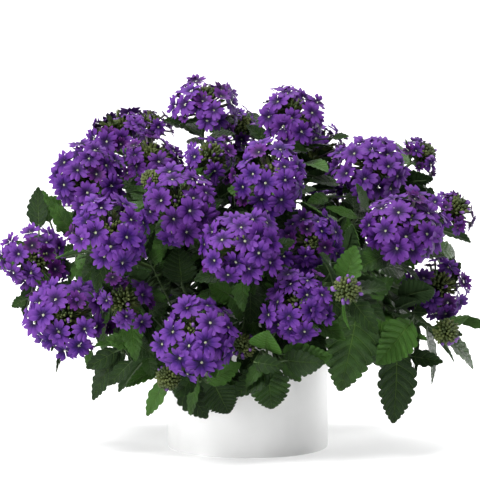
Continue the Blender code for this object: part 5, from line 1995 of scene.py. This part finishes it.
@dataclass
class LeafyStem:
    """One branch: its stems, its leaves on their stalks, and the calyces and buds of its heads."""

    branch: Branch
    plant: Plant
    dice: random.Random
    steps: int = 3
    softness: float = 0.8
    stalk_limits: tuple[float, float] = (0.00045, 0.0011)
    rib_shares: tuple[float, ...] = (0.12, 0.35, 0.6, 0.85)
    rib_depth: float = 0.052
    edge: float = 0.0006
    corner: float = 1.2
    waves: tuple[float, float] = (0.0, 0.035)
    ripples: tuple[float, float] = (9.0, 15.0)
    folds: tuple[float, float] = (-0.03, 0.06)
    curls: tuple[float, float] = (-0.02, 0.05)

    def smooth(self, points: list[Vector]) -> list[Vector]:
        """A soft line through a stem's points."""
        line = []
        for i in range(len(points) - 1):
            a, b = points[max(i - 1, 0)], points[i]
            c, d = points[i + 1], points[min(i + 2, len(points) - 1)]
            for step in range(self.steps):
                t = step / self.steps
                bent = (b * 2 + (c - a) * t + (a * 2 - b * 5 + c * 4 - d) * t * t
                        + (b * 3 - a - c * 3 + d) * t**3) / 2
                line.append(b.lerp(c, t).lerp(bent, self.softness))
        return line + [points[-1]]

    def lines(self) -> list[Route]:
        """Each stem's smooth line with its radii, the side shoots starting on their leader."""
        made = []
        for number, stem in enumerate(self.plant.stems_of(self.branch.name)):
            line = self.smooth(stem.points)
            if number:
                line[0] = self.nearest(line[0], made[:1])
            made.append((line, graded(stem.radii[0], stem.radii[-1], len(line))))
        return made

    @staticmethod
    def nearest(point: Vector, lines: list[Route]) -> Vector:
        """The point of some lines that is nearest to a point."""
        found = [line[i].lerp(line[i + 1], share / 4)
                 for line, _ in lines for i in range(len(line) - 1) for share in range(4)]
        return min(found, key=lambda spot: (spot - point).length)

    def stalks(self, lines: list[Route]) -> list[Route]:
        """Each leaf's stalk, from inside its stem and on under the blade as its midrib."""
        made = []
        thin, thickest = self.stalk_limits
        for leaf in self.plant.leaves_of(self.branch.name):
            thick = min(thickest, thin + leaf.width * 0.025)
            route = [self.nearest(leaf.joint, lines), leaf.root]
            radii = [thick * 1.15, thick]
            for t in self.rib_shares:
                spot, way = leaf.midrib(t)
                lift = way.cross(leaf.normal).cross(way).normalized()
                route.append(spot - lift * (leaf.width * self.rib_depth + thick * 0.3))
                radii.append(thick * (1.0 - 0.75 * t))
            made.append((route, radii))
        return made

    def tubes(self, palette: Palette) -> Object:
        """The stems and stalks as tubes, square as verbena stems are, with softened edges.

        Args:
            palette: the finishes.

        Returns:
            The tubes as one object.
        """
        lines = self.lines()
        made = []
        for routes, sides in ((lines, 0), (self.stalks(lines), 1)):
            bpy.ops.object.select_all(action="DESELECT")
            bpy.ops.curve.primitive_bezier_curve_add()
            guide = bpy.context.object.data
            guide.splines.clear()
            guide.bevel_depth = 1.0
            guide.bevel_resolution = sides
            guide.use_fill_caps = True
            for points, radii in routes:
                spline = guide.splines.new("POLY")
                spline.points.add(len(points) - 1)
                for knot, point, radius in zip(spline.points, points, radii):
                    knot.co = (*point, 1.0)
                    knot.radius = radius
            bpy.ops.object.convert(target="MESH")
            tube = bpy.context.object
            apply_modifier(tube, "WELD", merge_threshold=0.00001)
            if sides == 0:
                apply_modifier(
                    tube, "BEVEL", width=self.edge, segments=1, limit_method="ANGLE", angle_limit=self.corner
                )
            made.append(shade(palette.dress(tube, "stem_skin"), 50))
        return join("tubes", made)

    def bent(self, blade: np.ndarray, leaf: Leaf) -> np.ndarray:
        """A flat blade bent along a leaf's own line, with a wave and a curl of its own.

        Args:
            blade: the flat blade's points.
            leaf: where the leaf is.

        Returns:
            The leaf's points.
        """
        dice = self.dice
        root, middle, tip = (np.array(v, float) for v in (leaf.root, leaf.middle, leaf.tip))
        across, along, height = blade[:, 0:1], blade[:, 1:2], blade[:, 2:3]
        centre = root * (1 - along) ** 2 + middle * 2 * along * (1 - along) + tip * along**2
        way = (middle - root) * (1 - along) + (tip - middle) * along
        way /= np.linalg.norm(way, axis=1, keepdims=True)
        side = np.cross(way, np.array(leaf.normal, float))
        side /= np.linalg.norm(side, axis=1, keepdims=True)
        lift = np.cross(side, way)
        tall = dice.uniform(*self.waves)
        wave = tall * np.sin(along * dice.uniform(*self.ripples) + dice.uniform(0.0, 6.0))
        fold = dice.uniform(*self.folds) * np.abs(across)
        curl = dice.uniform(*self.curls) * along**3
        raised = height + (wave * across**2 + fold) - curl
        return centre + side * across * leaf.width / 2 + lift * raised * leaf.width

    def blades(self, nursery: Nursery) -> list[Object]:
        """The branch's leaves, the finer blade for the larger ones."""
        masters = [
            (pattern.above, master, points_of(master.data)) for pattern, master in zip(BLADES, nursery.blades)
        ]
        copies = []
        for leaf in self.plant.leaves_of(self.branch.name):
            above, master, points = next(row for row in masters if leaf.width > row[0])
            young = 0.0 if above else 0.25
            tone = min(1.0, max(0.0, self.dice.gauss(0.35, 0.40) + young))
            copies.append(copy_to(master, self.bent(points, leaf), tone))
        return copies

    def build(self, nursery: Nursery, heads: list[list[Object]]) -> Object:
        """Puts the branch together and hands it over in place of its node."""
        copies = [self.tubes(nursery.palette)] + self.blades(nursery)
        for calyces in heads:
            copies += calyces
        return hand_over(join("leafy_" + self.branch.name, copies), Slot.GREEN, self.branch.name)


@dataclass(frozen=True)
class Lamp:
    """A square soft light: where it is, what it looks at, its size and its power."""

    name: str
    place: tuple[float, float, float]
    aim: tuple[float, float, float]
    size: float
    power: float

    def add(self) -> None:
        """Adds the light."""
        bpy.ops.object.light_add(type="AREA", location=self.place)
        lamp = bpy.context.object
        lamp.name = self.name
        lamp.data.size = self.size
        lamp.data.energy = self.power
        lamp.rotation_euler = (Vector(self.aim) - Vector(self.place)).to_track_quat("-Z", "Y").to_euler()


LAMPS = (
    Lamp("key_light", (-0.9, -1.7, 2.3), (0.0, 0.0, 0.2), 0.9, 90.0),
    Lamp("low_light", (-1.9, -1.1, 0.25), (0.0, 0.0, 0.06), 1.0, 30.0),
    Lamp("edge_light", (1.6, 1.15, 0.35), (0.0, 0.0, 0.08), 0.6, 17.0),
    Lamp("top_light", (0.0, 0.9, 2.8), (0.0, 0.0, 0.2), 2.2, 70.0),
    Lamp("backdrop_light", (0.0, 1.6, 2.6), (0.0, 4.0, 1.0), 3.0, 120.0),
)


@dataclass
class Studio:
    """The pale floor and backdrop, the soft lights and the camera."""

    photograph: Photograph = Photograph()
    sensor_mm: float = 36.0
    image_px: float = 480.0
    floor_size: float = 8.0
    backdrop_height: float = 6.0
    sweep: float = 1.5
    floor_glow: float = 0.46
    room_glow: float = 0.13

    def floor(self) -> None:
        """A pale floor that sweeps up behind the plant."""
        end = self.floor_size / 2 - 0.1
        bench = Bench("floor", bpy.ops.mesh.primitive_plane_add, size=self.floor_size)
        bench.pick("EDGE", lambda e: all(v.co.y > end for v in e.verts))
        bpy.ops.mesh.extrude_edges_move(TRANSFORM_OT_translate={"value": (0.0, 0.0, self.backdrop_height)})
        bench.pick("EDGE", lambda e: all(v.co.y > end and v.co.z < 0.1 for v in e.verts))
        bpy.ops.mesh.bevel(offset=self.sweep, segments=16)
        floor = shade(bench.close())
        made = bpy.data.materials.new("pale_floor")
        made.use_nodes = True
        Wires(made.node_tree).feed(
            made.node_tree.nodes["Principled BSDF"], base_color=(0.66, 0.66, 0.66, 1.0), roughness=0.7,
            emission_color=(1.0, 1.0, 1.0, 1.0), emission_strength=self.floor_glow,
        )
        floor.data.materials.append(made)

    def room(self) -> None:
        """The pale surroundings."""
        world = bpy.data.worlds.new("pale_room")
        bpy.context.scene.world = world
        world.use_nodes = True
        Wires(world.node_tree).feed(
            world.node_tree.nodes["Background"], color=(0.94, 0.96, 1.0, 1.0), strength=self.room_glow
        )

    def camera(self) -> None:
        """The photograph's own viewpoint."""
        bpy.ops.object.camera_add(location=self.photograph.eye())
        camera = bpy.context.object
        camera.rotation_euler = (math.pi / 2 - self.photograph.tilt, 0.0, 0.0)
        camera.data.sensor_width = self.sensor_mm
        camera.data.lens = self.sensor_mm * self.photograph.focal_px / self.image_px
        camera.data.clip_end = 50.0
        bpy.context.scene.camera = camera
        bpy.context.scene.view_settings.view_transform = "Standard"

    def build(self) -> None:
        """Sets the studio up."""
        self.floor()
        for lamp in LAMPS:
            lamp.add()
        self.room()
        self.camera()


def main() -> None:
    """Builds the pot, the mix, the heads and the leafy stems, and sets up the studio."""
    logging.basicConfig(level=logging.INFO, format="%(message)s")
    gardener = Gardener()
    plant = gardener.grow_frame()
    LOG.info("leaves of the frame: %d", len(plant.leaves))
    gardener.grow_fillers(plant)
    LOG.info("leaves in all: %d", len(plant.leaves))
    palette = Palette()
    nursery = Nursery(palette)
    Pot().build(palette)
    PottingMix().build(palette)
    dice = random.Random(SEED + 2)
    for branch in BRANCHES:
        calyces = []
        for key in branch.heads:
            bloom = plant.blooms[key]
            if bloom.kind is Kind.TIP:
                continue
            head = FlowerHead(bloom, dice)
            flowers = head.flowers()
            calyces.append(head.calyces(flowers, nursery))
            if flowers:
                piece = join("florets_" + key, head.corollas(flowers, nursery))
                hand_over(piece, Slot.PETALS, "bloom_" + key)
        LeafyStem(branch, plant, dice).build(nursery, calyces)
    nursery.clear()
    Studio().build()
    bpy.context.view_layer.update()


if __name__ == "__main__":
    main()
